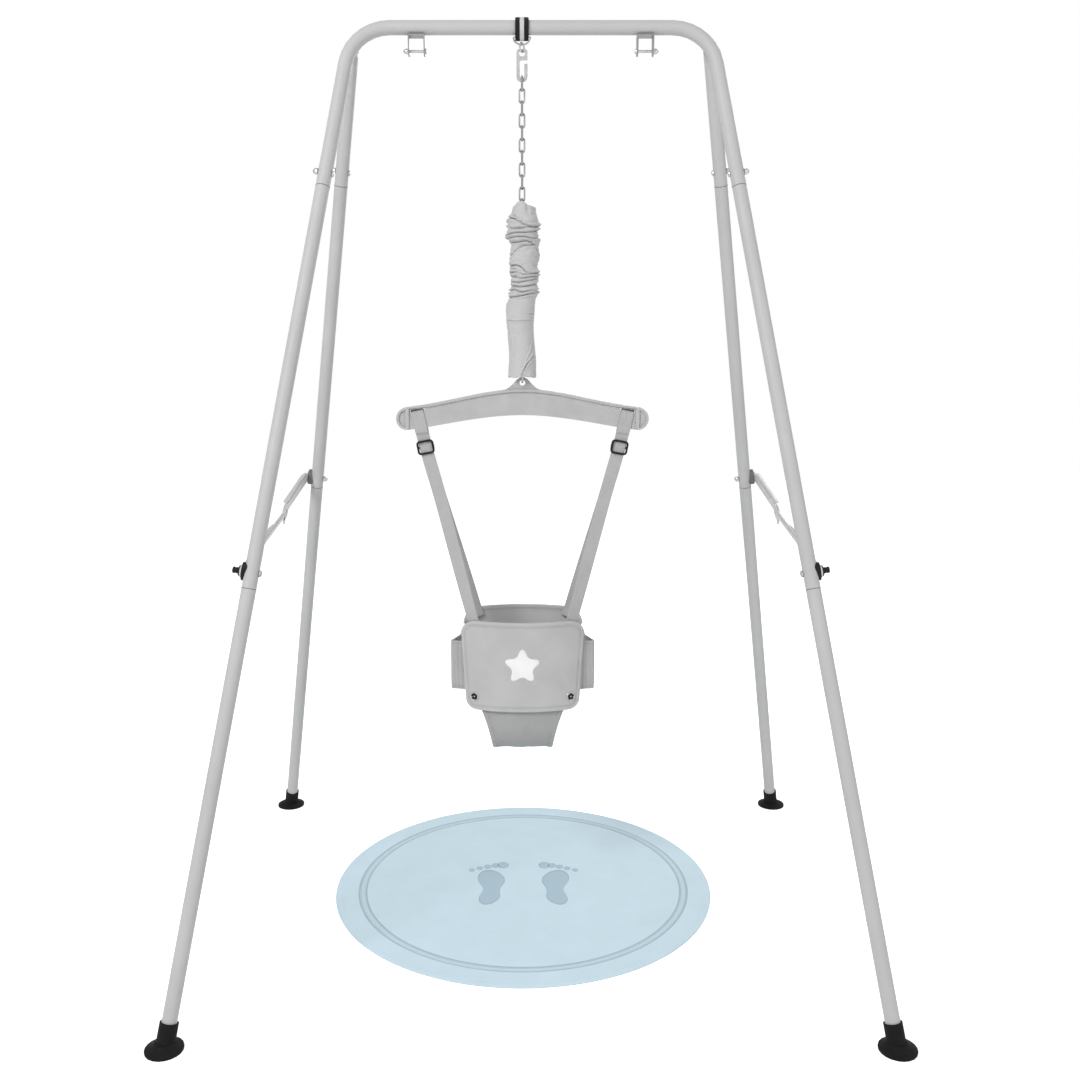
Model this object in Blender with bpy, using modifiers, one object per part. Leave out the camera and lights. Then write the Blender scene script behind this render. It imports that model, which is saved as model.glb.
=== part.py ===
"""Baby jumper on a folding stand: tubular frame, folding side braces, chain, sprung hanger and harness.

Metres, +Z up, -Y to the front. The origin is on the floor in the middle of the stand.
"""
import math

import bmesh
import bpy
from mathutils import Matrix, Vector

# Stand
TUBE_DIAMETER = 0.025
TUBE_WALL = 0.0013
BAR_HEIGHT = 1.657
CORNER_HALF_X = 0.3155
FOOT_HALF_X = 0.585
FOOT_HALF_Y = 0.481
CORNER_BEND_RADIUS = 0.078
FRONT_STUB_DROP = 0.280
REAR_STUB_DROP = 0.219
SPIGOT_LENGTH = 0.055
BOLT_ABOVE_SEAM = 0.024
LEG_END_HEIGHT = 0.014
CLEARANCE = 0.0003
SLIDING_GAP = 0.0005

# Top hinge of each rear leg
HINGE_SETBACK = 0.0289
HINGE_BELOW_BAR = 0.037
HINGE_PIN_RADIUS = 0.004
LUG_THICKNESS = 0.005
LUG_RADIUS = 0.0105
LUG_SWEEP = 0.005
STUB_CROWN = 0.007

# Feet
FOOT_BASE_RADIUS = 0.031
FOOT_BASE_THICKNESS = 0.004
FOOT_FLARE_HEIGHT = 0.014
FOOT_SOCKET_WALL = 0.0028
FOOT_SOCKET_TOP = 0.041
FOOT_FLOOR = 0.010

# Bolts
BOLT_RADIUS = 0.003
BOLT_HOLE_GAP = 0.0004
BOLT_HEAD_RADIUS = 0.0058
BOLT_HEAD_HEIGHT = 0.0032
ACORN_LENGTH = 0.009

# Folding braces
FRONT_PIVOT_HEIGHT = 0.733
REAR_PIVOT_HEIGHT = 0.830
FRONT_SEAM_BELOW_PIVOT = 0.026
REAR_SEAM_BELOW_PIVOT = 0.018
BRACE_HINGE_SHARE = 0.395
BRACE_HINGE_DROP = 0.006
BRACE_HEIGHT = 0.019
BRACE_THICKNESS = 0.0024
BRACE_END_RADIUS = 0.011
BRACE_HINGE_RADIUS = 0.0145
BRACE_RIB_HEIGHT = 0.0022
BRACE_RIB_WIDTH = 0.007
FINGER_TAB_LENGTH = 0.022
SADDLE_LENGTH = 0.032
SADDLE_WIDTH = 0.018
SADDLE_THICKNESS = 0.0035
RIVET_HEAD_RADIUS = 0.0075
RIVET_HEAD_HEIGHT = 0.0022
KNOB_RADIUS = 0.0095
KNOB_LENGTH = 0.013

# Swing brackets under the bar
BRACKET_X = 0.2015
BRACKET_WIDTH = 0.030
BRACKET_PLATE = 0.0025
BRACKET_BOLT_DROP = 0.0395
BRACKET_TOP_DEPTH = 0.024
BRACKET_END_RADIUS = 0.009
BRACKET_BOLT_RADIUS = 0.0025

# Hanging line
JUMPER_X = -0.016
WEBBING_WIDTH = 0.024
BAR_WEBBING_THICKNESS = 0.0034
RING_WIRE_RADIUS = 0.00175
D_RING_DROP = 0.0160
D_RING_HALF_WIDTH = 0.0155
D_RING_DEPTH = 0.0128
ROUND_RING_RADIUS = 0.0078
ROUND_RING_TURN = 62
HOOK_WIDTH = 0.0195
HOOK_LENGTH = 0.0549
HOOK_THICKNESS = 0.0030
HOOK_EYE_RADIUS = 0.0050
HOOK_EYE_LAND = 0.0024
HOOK_SLOT_WIDTH = 0.008
HOOK_LAND = 0.0065
HOOK_MOUTH_RISE = 0.022
HOOK_SEAT = 0.0012
CHAIN_WIRE_RADIUS = 0.002
CHAIN_INNER_LENGTH = 0.0206
CHAIN_INNER_WIDTH = 0.005
CHAIN_BITE = 0.0004
CHAIN_LINKS = 10

# Spring and its sleeve
SPRING_RADIUS = 0.014
SPRING_WIRE_RADIUS = 0.00175
SPRING_HOOK_RADIUS = 0.008
SPRING_TURNS = 17
SPRING_STEPS = 8
SPRING_COIL_LENGTH = 0.262
SLEEVE_WALL = 0.003
SLEEVE_GATHER_RADIUS = 0.0300
SLEEVE_RADIUS = 0.0268
SLEEVE_ABOVE_HOOK = 0.0025
SLEEVE_LENGTH = 0.313
PLUG_LENGTH = 0.022
PLUG_FLANGE = 0.0025
LOWER_EYE_RADIUS = 0.0062
LOWER_EYE_DROP = 0.00496
LINK_SEAT = 0.0030
LINK_INNER_LENGTH = 0.03504
LINK_INNER_WIDTH = 0.0115
LINK_WIRE_RADIUS = 0.00175

# Hanger
HANGER_TOP_BELOW_EYE = 0.0115
HANGER_BOTTOM_BELOW_EYE = 0.0595
HANGER_LOBE_X = 0.2137
HANGER_LOBE_BELOW_EYE = 0.0662
HANGER_LOBE_RADIUS = 0.0215
HANGER_THICKNESS = 0.016
HANGER_WEB = 0.0095
HANGER_RIM = 0.005
HANGER_EYE_RADIUS = 0.0053
HANGER_BOSS_RADIUS = 0.0105
HANGER_FLANK_REACH = 0.037
POCKET_WALL = 0.0030
SLOT_X = 0.1965
SLOT_BELOW_EYE = 0.0515
SLOT_OPENING = 0.0064
SLOT_LENGTH = 0.0275
SLOT_SLOPE = 0.12

# Shoulder straps and their slide buckles
STRAP_THICKNESS = 0.0018
BUCKLE_X = 0.1815
BUCKLE_BELOW_EYE = 0.1195
FORK_BELOW_EYE = 0.2075
STRAP_LAYER_GAP = 0.0006
BUCKLE_WIDTH = 0.0320
BUCKLE_LENGTH = 0.0265
BUCKLE_BAR = 0.0037
BUCKLE_CORNER = 0.0062
BUCKLE_CHEEK = 0.0024
BUCKLE_CHEEK_LENGTH = 0.012
BUCKLE_DEPTH = 0.0030
BUCKLE_CROSSBAR = 0.0044
BUCKLE_SKEW = 5

# Harness
PANEL_HALF_WIDTH = 0.1165
PANEL_BELOW_EYE = 0.4395
PANEL_HEIGHT = 0.173
PANEL_TOP_CORNER = 0.030
PANEL_LOWER_CORNER = 0.019
PANEL_TAPER = 0.010
PANEL_THICKNESS = 0.0045
PANEL_ELLIPSE_X = 0.138
PANEL_ELLIPSE_Y = 0.078
BAND_HALF_WIDTH = 0.1365
BAND_BELOW_PANEL_TOP = 0.045
BAND_HEIGHT = 0.095
BAND_THICKNESS = 0.003
SEAT_OVERLAP = 0.045
SEAT_DROP = 0.088
SEAT_TOP_HALF_WIDTH = 0.078
SEAT_BOTTOM_HALF_WIDTH = 0.058
SEAT_THICKNESS = 0.004
STRAP_END_X = 0.093

# Floor mat
MAT_RADIUS = 0.385
MAT_CENTRE_Y = 0.075
MAT_THICKNESS = 0.004

TUBE_SIDES = 16
SMALL_SIDES = 10
CUT_SIDES = 8
TUBE_RADIUS = TUBE_DIAMETER / 2
BORE_RADIUS = TUBE_RADIUS - TUBE_WALL
SPIGOT_RADIUS = BORE_RADIUS - CLEARANCE
HOLE_RADIUS = BOLT_RADIUS + BOLT_HOLE_GAP
LEFT, RIGHT = -1, 1
X_AXIS, Y_AXIS, Z_AXIS = Vector((1, 0, 0)), Vector((0, 1, 0)), Vector((0, 0, 1))
SPLAY = (FOOT_HALF_X - CORNER_HALF_X) / BAR_HEIGHT
SIDE_TILT = math.atan(SPLAY)
SIDE_NORMAL = Vector((math.cos(SIDE_TILT), 0, math.sin(SIDE_TILT)))
SIDE_UP = Vector((-math.sin(SIDE_TILT), 0, math.cos(SIDE_TILT)))

# Heights on the stand, measured from the bar and from the braces' pivots
HINGE_HEIGHT = BAR_HEIGHT - HINGE_BELOW_BAR
STUB_SEAM_HEIGHT = BAR_HEIGHT - FRONT_STUB_DROP
REAR_STUB_SEAM_HEIGHT = HINGE_HEIGHT - REAR_STUB_DROP
FRONT_SEAM_HEIGHT = FRONT_PIVOT_HEIGHT - FRONT_SEAM_BELOW_PIVOT
REAR_SEAM_HEIGHT = REAR_PIVOT_HEIGHT - REAR_SEAM_BELOW_PIVOT

# Layers of the folding brace, measured out from the legs' own plane
FRONT_LAYER = TUBE_RADIUS + SADDLE_THICKNESS + CLEARANCE
REAR_LAYER = FRONT_LAYER + BRACE_THICKNESS + SLIDING_GAP

# Heights down the hanging line, each piece hung on the one above it
D_RING_HEIGHT = BAR_HEIGHT - D_RING_DROP
D_RING_BOTTOM = D_RING_HEIGHT - D_RING_DEPTH
ROUND_RING_HEIGHT = D_RING_BOTTOM + 2 * RING_WIRE_RADIUS + CLEARANCE - ROUND_RING_RADIUS
HOOK_EYE_HEIGHT = ROUND_RING_HEIGHT - ROUND_RING_RADIUS + RING_WIRE_RADIUS + 2 * CLEARANCE - HOOK_EYE_RADIUS
HOOK_TOP = HOOK_EYE_HEIGHT + HOOK_EYE_RADIUS + HOOK_EYE_LAND
HOOK_BOTTOM = HOOK_TOP - HOOK_LENGTH
HOOK_SLOT_BOTTOM = HOOK_BOTTOM + HOOK_LAND
CHAIN_PITCH = CHAIN_INNER_LENGTH + CHAIN_BITE
FIRST_LINK_HEIGHT = HOOK_SLOT_BOTTOM + HOOK_SEAT - CHAIN_INNER_LENGTH / 2
LAST_LINK_HEIGHT = FIRST_LINK_HEIGHT - (CHAIN_LINKS - 1) * CHAIN_PITCH
SPRING_TOP = LAST_LINK_HEIGHT - CHAIN_INNER_LENGTH / 2 + SPRING_WIRE_RADIUS + CLEARANCE - SPRING_HOOK_RADIUS
COIL_TOP = SPRING_TOP - SPRING_HOOK_RADIUS
COIL_BOTTOM = COIL_TOP - SPRING_COIL_LENGTH
SLEEVE_TOP = SPRING_TOP + SLEEVE_ABOVE_HOOK
SLEEVE_BOTTOM = SLEEVE_TOP - SLEEVE_LENGTH
PLUG_SEAT = COIL_BOTTOM - SPRING_WIRE_RADIUS - CLEARANCE
LOWER_EYE_HEIGHT = PLUG_SEAT - PLUG_FLANGE - LOWER_EYE_DROP
LOWER_EYE_BOTTOM = LOWER_EYE_HEIGHT - LOWER_EYE_RADIUS
LINK_TOP = LOWER_EYE_BOTTOM + SPRING_WIRE_RADIUS + LINK_WIRE_RADIUS + CLEARANCE
LINK_BOTTOM = LINK_TOP - LINK_INNER_LENGTH - 2 * LINK_WIRE_RADIUS
HANGER_EYE_HEIGHT = LINK_BOTTOM + LINK_WIRE_RADIUS + LINK_SEAT - HANGER_EYE_RADIUS

# Heights of the hanger and the harness, measured down from the hanger's eye
HANGER_TOP = HANGER_EYE_HEIGHT - HANGER_TOP_BELOW_EYE
HANGER_BOTTOM = HANGER_EYE_HEIGHT - HANGER_BOTTOM_BELOW_EYE
HANGER_LOBE_HEIGHT = HANGER_EYE_HEIGHT - HANGER_LOBE_BELOW_EYE
SLOT_HEIGHT = HANGER_EYE_HEIGHT - SLOT_BELOW_EYE
BUCKLE_HEIGHT = HANGER_EYE_HEIGHT - BUCKLE_BELOW_EYE
FORK_HEIGHT = HANGER_EYE_HEIGHT - FORK_BELOW_EYE
PANEL_TOP = HANGER_EYE_HEIGHT - PANEL_BELOW_EYE
PANEL_BOTTOM = PANEL_TOP - PANEL_HEIGHT
BAND_TOP = PANEL_TOP - BAND_BELOW_PANEL_TOP
BAND_BOTTOM = BAND_TOP - BAND_HEIGHT
SEAT_TOP = PANEL_BOTTOM + SEAT_OVERLAP
SEAT_BOTTOM = PANEL_BOTTOM - SEAT_DROP


def new_collection(name):
    collection = bpy.data.collections.new(name)
    bpy.context.scene.collection.children.link(collection)
    return collection


for old in list(bpy.data.objects):
    bpy.data.objects.remove(old, do_unlink=True)
PARTS = new_collection("baby_jumper_stand")
GUIDES = new_collection("cutters")


def material(name, colour, roughness, metallic=0.0):
    made = bpy.data.materials.get(name) or bpy.data.materials.new(name)
    made.use_nodes = True
    shader = made.node_tree.nodes["Principled BSDF"]
    shader.inputs["Base Color"].default_value = (*colour, 1.0)
    shader.inputs["Roughness"].default_value = roughness
    shader.inputs["Metallic"].default_value = metallic
    return made


FRAME_PAINT = material("frame_paint", (0.57, 0.58, 0.58), 0.45)
STEEL = material("zinc_steel", (0.62, 0.62, 0.61), 0.35, 1.0)
DARK_STEEL = material("chain_steel", (0.30, 0.30, 0.30), 0.35, 1.0)
BRACE_STEEL = material("brace_steel", (0.55, 0.55, 0.55), 0.45, 0.6)
RUBBER = material("foot_rubber", (0.015, 0.015, 0.015), 0.8)
BLACK_PLASTIC = material("black_plastic", (0.012, 0.012, 0.012), 0.45)
GREY_PLASTIC = material("grey_plastic", (0.46, 0.47, 0.47), 0.5)
BLACK_WEBBING = material("black_webbing", (0.02, 0.02, 0.02), 0.85)
GREY_WEBBING = material("grey_webbing", (0.46, 0.47, 0.48), 0.9)
PANEL_FABRIC = material("panel_fabric", (0.48, 0.48, 0.49), 0.95)
SEAT_FABRIC = material("seat_fabric", (0.36, 0.36, 0.37), 0.95)
SLEEVE_FABRIC = material("sleeve_fabric", (0.45, 0.46, 0.47), 0.95)
MAT_FABRIC = material("mat_fabric", (0.48, 0.62, 0.69), 0.95)


def link(name, data, matrix=None, collection=None):
    made = bpy.data.objects.new(name, data)
    (collection or PARTS).objects.link(made)
    if matrix is not None:
        made.matrix_world = matrix
    return made


def cutter(made):
    """Turns an object into a hidden helper."""
    for collection in list(made.users_collection):
        collection.objects.unlink(made)
    GUIDES.objects.link(made)
    made.hide_render = True
    made.display_type = 'WIRE'
    return made


def frame_matrix(origin, z_direction, x_hint=X_AXIS):
    """A matrix whose Z is z_direction and whose X is close to x_hint."""
    z = Vector(z_direction).normalized()
    x = Vector(x_hint) - z * z.dot(x_hint)
    if x.length < 1e-6:
        x = Y_AXIS - z * z.y
    x.normalize()
    y = z.cross(x)
    matrix = Matrix((x, y, z)).transposed().to_4x4()
    matrix.translation = origin
    return matrix


def world_mesh(source):
    """The evaluated mesh of an object in world space, welded and facing out."""
    bpy.context.view_layer.update()
    graph = bpy.context.evaluated_depsgraph_get()
    mesh = bpy.data.meshes.new_from_object(source.evaluated_get(graph))
    mesh.transform(source.matrix_world)
    shape = bmesh.new()
    shape.from_mesh(mesh)
    bmesh.ops.remove_doubles(shape, verts=shape.verts, dist=1e-6)
    bmesh.ops.recalc_face_normals(shape, faces=shape.faces)
    shape.to_mesh(mesh)
    shape.free()
    return mesh


def finished(name, source, finish):
    """Names a finished piece, gives it its material and shades its round faces smooth."""
    mesh = world_mesh(source)
    bpy.data.objects.remove(source, do_unlink=True)
    mesh.shade_smooth()
    mesh.set_sharp_from_angle(angle=math.radians(35))
    mesh.materials.clear()
    mesh.materials.append(finish)
    return link(name, mesh)


def other_side(made):
    """Names an object of the +X side as the right one and adds its mirror image as the left one."""
    base = made.name
    mesh = made.data.copy()
    shape = bmesh.new()
    shape.from_mesh(mesh)
    bmesh.ops.scale(shape, vec=(-1, 1, 1), verts=shape.verts)
    bmesh.ops.reverse_faces(shape, faces=shape.faces)
    shape.to_mesh(mesh)
    shape.free()
    made.name = base + "_right"
    return made, link(base + "_left", mesh)


def turned(profile, matrix, sides=TUBE_SIDES):
    """A profile of (radius, height) points turned about the local Z axis."""
    mesh = bpy.data.meshes.new("profile")
    closed = profile[0][0] > 0 and profile[-1][0] > 0
    points = [(radius, 0, height) for radius, height in profile]
    edges = [(i, i + 1) for i in range(len(points) - 1)]
    if closed:
        edges.append((len(points) - 1, 0))
    mesh.from_pydata(points, edges, [])
    made = link("turned", mesh, matrix)
    screw = made.modifiers.new("turn", 'SCREW')
    screw.steps = screw.render_steps = sides
    screw.use_merge_vertices = True
    screw.merge_threshold = 0.00001
    return made


def rod(start, end, radius, sides=SMALL_SIDES):
    """A plain cylinder between two points."""
    start, end = Vector(start), Vector(end)
    shape = bmesh.new()
    bmesh.ops.create_cone(shape, cap_ends=True, segments=sides, radius1=radius, radius2=radius,
                          depth=(end - start).length)
    mesh = bpy.data.meshes.new("rod")
    shape.to_mesh(mesh)
    shape.free()
    return link("rod", mesh, frame_matrix((start + end) / 2, end - start))


def block(size, matrix):
    """A plain box centred on a matrix."""
    shape = bmesh.new()
    bmesh.ops.create_cube(shape, size=1.0)
    bmesh.ops.scale(shape, vec=size, verts=shape.verts)
    mesh = bpy.data.meshes.new("block")
    shape.to_mesh(mesh)
    shape.free()
    return link("block", mesh, matrix)


def wire(points, radius, cyclic=False, resolution=1, caps=True):
    """A round wire or tube along a chain of points."""
    curve = bpy.data.curves.new("wire", 'CURVE')
    curve.dimensions = '3D'
    spline = curve.splines.new('POLY')
    spline.points.add(len(points) - 1)
    for target, point in zip(spline.points, points):
        target.co = (*point, 1)
    spline.use_cyclic_u = cyclic
    curve.bevel_depth = radius
    curve.bevel_resolution = resolution
    curve.use_fill_caps = caps and not cyclic
    return link("wire", curve)


def flat(outlines, thickness, matrix):
    """A flat plate: closed outlines in local X and Y, holes inside the first, centred on its thickness."""
    curve = bpy.data.curves.new("flat", 'CURVE')
    curve.dimensions = '2D'
    curve.fill_mode = 'BOTH'
    curve.extrude = thickness / 2
    for outline in outlines:
        spline = curve.splines.new('POLY')
        spline.points.add(len(outline) - 1)
        for target, (x, y) in zip(spline.points, outline):
            target.co = (x, y, 0, 1)
        spline.use_cyclic_u = True
    return link("flat", curve, matrix)


def meshed(source):
    """Replaces an object by its own evaluated, welded mesh so that it can be cut."""
    mesh = world_mesh(source)
    bpy.data.objects.remove(source, do_unlink=True)
    return link("meshed", mesh)


def boolean(target, tool, operation='DIFFERENCE'):
    step = target.modifiers.new(operation.lower(), 'BOOLEAN')
    step.operation = operation
    step.object = tool
    return target


def cut_all(target, tools):
    for tool in tools:
        boolean(target, cutter(tool))
    return target


def join(target, tools):
    for tool in tools:
        boolean(target, cutter(tool), 'UNION')
    return target


def arc(centre, radius, start, end, steps):
    """Points on an arc; angles in degrees."""
    angles = [math.radians(start + (end - start) * i / steps) for i in range(steps + 1)]
    return [(centre[0] + radius * math.cos(a), centre[1] + radius * math.sin(a)) for a in angles]


def circle(centre, radius, steps=SMALL_SIDES):
    return arc(centre, radius, 0, 360, steps)[:-1]


def bezier(p0, p1, p2, p3, steps):
    """Points on one cubic curve, the end point left out."""
    points = []
    for i in range(steps):
        t = i / steps
        s = 1 - t
        weights = (s ** 3, 3 * s * s * t, 3 * s * t * t, t ** 3)
        points.append(tuple(sum(w * p[k] for w, p in zip(weights, (p0, p1, p2, p3))) for k in range(len(p0))))
    return points


def filleted(points, radius, steps):
    """Corner points rounded by arcs of one radius."""
    points = [Vector(p) for p in points]
    path = [points[0]]
    for before, corner, after in zip(points, points[1:], points[2:]):
        a, b = (before - corner).normalized(), (after - corner).normalized()
        half = a.angle(b) / 2
        centre = corner + (a + b).normalized() * radius / math.sin(half)
        start = corner + a * radius / math.tan(half) - centre
        end = corner + b * radius / math.tan(half) - centre
        sweep, normal = start.angle(end), start.cross(end).normalized()
        path += [centre + Matrix.Rotation(sweep * i / steps, 3, normal) @ start for i in range(steps + 1)]
    return path + [points[-1]]


def leg_x(height):
    return CORNER_HALF_X + SPLAY * (BAR_HEIGHT - height)


def front_leg(height):
    """A point on the right front leg's axis."""
    return Vector((leg_x(height), -FOOT_HALF_Y * (BAR_HEIGHT - height) / BAR_HEIGHT, height))


def rear_leg(height):
    """A point on the right rear leg's axis, which runs through its top hinge."""
    fall = (HINGE_HEIGHT - height) / HINGE_HEIGHT
    return Vector((leg_x(height), HINGE_SETBACK + (FOOT_HALF_Y - HINGE_SETBACK) * fall, height))


def side_hole(centre, radius=HOLE_RADIUS, reach=0.03):
    """A cutter for a hole through a leg, square to the plane of the two legs."""
    return rod(centre - SIDE_NORMAL * reach, centre + SIDE_NORMAL * reach, radius, CUT_SIDES)


def leg_tube(name, line, top, bottom, holes, open_below=True):
    """A leg section with its own wall and a reduced spigot that slides up into the section above."""
    origin = line(bottom)
    axis = line(top) - origin
    length = axis.length
    shoulder = length - CLEARANCE
    spigot = length + SPIGOT_LENGTH
    profile = [(SPIGOT_RADIUS, spigot), (SPIGOT_RADIUS, shoulder), (TUBE_RADIUS, shoulder), (TUBE_RADIUS, 0),
               (BORE_RADIUS, 0), (BORE_RADIUS, shoulder - TUBE_WALL),
               (SPIGOT_RADIUS - TUBE_WALL, shoulder - TUBE_WALL), (SPIGOT_RADIUS - TUBE_WALL, spigot)]
    made = meshed(turned(profile, frame_matrix(origin, axis)))
    cut_all(made, [side_hole(centre) for centre in holes])
    return other_side(finished(name, made, FRAME_PAINT))


def spigot_bolt(line, seam):
    """Where the bolt that locks a slip joint passes through the tubes."""
    return line(seam + BOLT_ABOVE_SEAM)


def top_tube():
    """The bar, its two bends and the stubs of the front legs, one bent tube."""
    right = front_leg(STUB_SEAM_HEIGHT)
    left = Vector((-right.x, right.y, right.z))
    corner_right, corner_left = Vector((CORNER_HALF_X, 0, BAR_HEIGHT)), Vector((-CORNER_HALF_X, 0, BAR_HEIGHT))
    path = filleted([left, corner_left, corner_right, right], CORNER_BEND_RADIUS, 7)
    skin = wire(path, TUBE_RADIUS, resolution=6, caps=False)
    mesh = world_mesh(skin)
    bpy.data.objects.remove(skin, do_unlink=True)
    made = link("top_tube_skin", mesh)
    wall = made.modifiers.new("wall", 'SOLIDIFY')
    wall.thickness = TUBE_WALL
    wall.offset = -1
    bolt = spigot_bolt(front_leg, STUB_SEAM_HEIGHT)
    hole_right = side_hole(bolt)
    bolt_left, normal_left = Vector((-bolt.x, bolt.y, bolt.z)), Vector((-SIDE_NORMAL.x, 0, SIDE_NORMAL.z))
    hole_left = rod(bolt_left - normal_left * 0.03, bolt_left + normal_left * 0.03, HOLE_RADIUS, CUT_SIDES)
    cut_all(made, [hole_right, hole_left])
    return finished("top_tube", made, FRAME_PAINT)


def corner_cutter():
    """The right bend and stub with a clearance, used to seat the hinge lug on the tube."""
    corner = Vector((CORNER_HALF_X, 0, BAR_HEIGHT))
    path = filleted([Vector((0, 0, BAR_HEIGHT)), corner, front_leg(STUB_SEAM_HEIGHT)], CORNER_BEND_RADIUS, 7)
    return meshed(wire(path, TUBE_RADIUS + CLEARANCE, resolution=6))


def hinge_pivot():
    return Vector((leg_x(HINGE_HEIGHT), HINGE_SETBACK, HINGE_HEIGHT))


def hinge_bracket():
    """A plate lug welded behind the bend; the rear leg's slotted end turns on it."""
    pivot = hinge_pivot()
    local = frame_matrix(pivot, SIDE_NORMAL, Y_AXIS)
    tube_y = front_leg(HINGE_HEIGHT).y
    reach = HINGE_SETBACK - tube_y
    outline = arc((0, 0), LUG_RADIUS, -90, 90, 10) + [(-reach, LUG_RADIUS), (-reach, -LUG_RADIUS)]
    lug = meshed(flat([outline], LUG_THICKNESS, local))
    cut_all(lug, [corner_cutter(), side_hole(pivot, HINGE_PIN_RADIUS + BOLT_HOLE_GAP)])
    return other_side(finished("hinge_bracket", lug, FRAME_PAINT))


def hinge_pin():
    """A pin through each lug, riveted over in the countersunk walls of the rear stub."""
    pivot = hinge_pivot()
    half = math.sqrt(TUBE_RADIUS ** 2 - HINGE_PIN_RADIUS ** 2) - CLEARANCE
    return other_side(finished("hinge_pin", rod(pivot - SIDE_NORMAL * half, pivot + SIDE_NORMAL * half,
                                                HINGE_PIN_RADIUS, 12), STEEL))


def ring_loft(rings, name):
    """Faces between equal rings of points, with both ends closed."""
    shape = bmesh.new()
    made = [[shape.verts.new(p) for p in ring] for ring in rings]
    for low, high in zip(made, made[1:]):
        for i in range(len(low)):
            j = (i + 1) % len(low)
            shape.faces.new((low[i], low[j], high[j], high[i]))
    shape.faces.new(list(reversed(made[0])))
    shape.faces.new(made[-1])
    bmesh.ops.recalc_face_normals(shape, faces=shape.faces)
    mesh = bpy.data.meshes.new(name)
    shape.to_mesh(mesh)
    shape.free()
    return link(name, mesh)


def rear_stub():
    """The short rear tube; its domed upper end is slotted from front to back to turn on the lug."""
    pivot = hinge_pivot()
    origin = rear_leg(REAR_STUB_SEAM_HEIGHT)
    axis = pivot - origin
    length = axis.length
    local = frame_matrix(origin, axis, SIDE_NORMAL)
    slot_depth = LUG_RADIUS + LUG_SWEEP
    crown_start = length + TUBE_RADIUS - STUB_CROWN
    crown = [(TUBE_RADIUS * math.cos(math.radians(a)), crown_start + STUB_CROWN * math.sin(math.radians(a)))
             for a in (75, 50, 25, 0)]
    body = meshed(turned([(0, crown_start + STUB_CROWN)] + crown + [(TUBE_RADIUS, 0), (0, 0)], local))
    bore_top = length - slot_depth - 2 * TUBE_WALL
    bore = turned([(0, bore_top), (BORE_RADIUS, bore_top), (BORE_RADIUS, -0.01), (0, -0.01)], local)
    slot_top = 2 * TUBE_RADIUS
    slot = block((LUG_THICKNESS + 2 * SLIDING_GAP, 4 * TUBE_RADIUS, slot_depth + slot_top),
                 local @ Matrix.Translation((0, 0, length + (slot_top - slot_depth) / 2)))
    pin_hole = side_hole(pivot, HINGE_PIN_RADIUS + BOLT_HOLE_GAP)
    cut_all(body, [bore, slot, pin_hole, side_hole(spigot_bolt(rear_leg, REAR_STUB_SEAM_HEIGHT))])
    return other_side(finished("rear_stub", body, FRAME_PAINT))


def legs():
    front_joint = spigot_bolt(front_leg, STUB_SEAM_HEIGHT)
    front_pivot = front_leg(FRONT_PIVOT_HEIGHT)
    leg_tube("front_upper_leg", front_leg, STUB_SEAM_HEIGHT, FRONT_SEAM_HEIGHT, [front_joint, front_pivot])
    leg_tube("front_lower_leg", front_leg, FRONT_SEAM_HEIGHT, LEG_END_HEIGHT, [front_pivot])
    rear_joint = spigot_bolt(rear_leg, REAR_STUB_SEAM_HEIGHT)
    rear_pivot = rear_leg(REAR_PIVOT_HEIGHT)
    leg_tube("rear_upper_leg", rear_leg, REAR_STUB_SEAM_HEIGHT, REAR_SEAM_HEIGHT, [rear_joint, rear_pivot])
    leg_tube("rear_lower_leg", rear_leg, REAR_SEAM_HEIGHT, LEG_END_HEIGHT, [rear_pivot])


def foot(name, line):
    """A rubber foot: a flared base on the floor and a socket that the leg's end stands in."""
    rise = line(1) - line(0)
    waist = TUBE_RADIUS + FOOT_SOCKET_WALL
    centre = line(0)
    rim, fall = FOOT_BASE_RADIUS - waist, FOOT_FLARE_HEIGHT - FOOT_BASE_THICKNESS
    flare = [(0, FOOT_FLARE_HEIGHT), (waist * 0.98, FOOT_FLARE_HEIGHT),
             (waist + rim * 0.20, FOOT_BASE_THICKNESS + fall * 0.66),
             (waist + rim * 0.62, FOOT_BASE_THICKNESS + fall * 0.27), (FOOT_BASE_RADIUS, FOOT_BASE_THICKNESS),
             (FOOT_BASE_RADIUS, 0), (0, 0)]
    base = meshed(turned(flare, Matrix.Translation((centre.x, centre.y, 0)), 20))
    start = line(FOOT_BASE_THICKNESS * 1.6)
    end = line(FOOT_SOCKET_TOP)
    height = (end - start).length
    socket = turned([(0, height), (waist, height), (waist, 0), (0, 0)], frame_matrix(start, rise), 20)
    join(base, [meshed(socket)])
    bore_start = line(FOOT_FLOOR)
    bore_length = (line(FOOT_SOCKET_TOP + 0.02) - bore_start).length
    bore_radius = TUBE_RADIUS + CLEARANCE
    bore = turned([(0, bore_length), (bore_radius, bore_length), (bore_radius, 0), (0, 0)],
                  frame_matrix(bore_start, rise), 20)
    cut_all(base, [meshed(bore)])
    return other_side(finished(name, base, RUBBER))


def bolt_profile(inner, outer, radius=BOLT_RADIUS):
    """A dome-headed bolt with its cap nut: inner and outer are the heights of the clamped faces."""
    head = BOLT_HEAD_RADIUS * radius / BOLT_RADIUS
    low, high = inner - CLEARANCE, outer + CLEARANCE
    return [(0, high + ACORN_LENGTH), (head * 0.45, high + ACORN_LENGTH * 0.93),
            (head * 0.85, high + ACORN_LENGTH * 0.65), (head, high + ACORN_LENGTH * 0.45), (head, high),
            (radius, high), (radius, low), (head, low), (head * 0.85, low - BOLT_HEAD_HEIGHT * 0.7),
            (head * 0.4, low - BOLT_HEAD_HEIGHT), (0, low - BOLT_HEAD_HEIGHT)]


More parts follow.
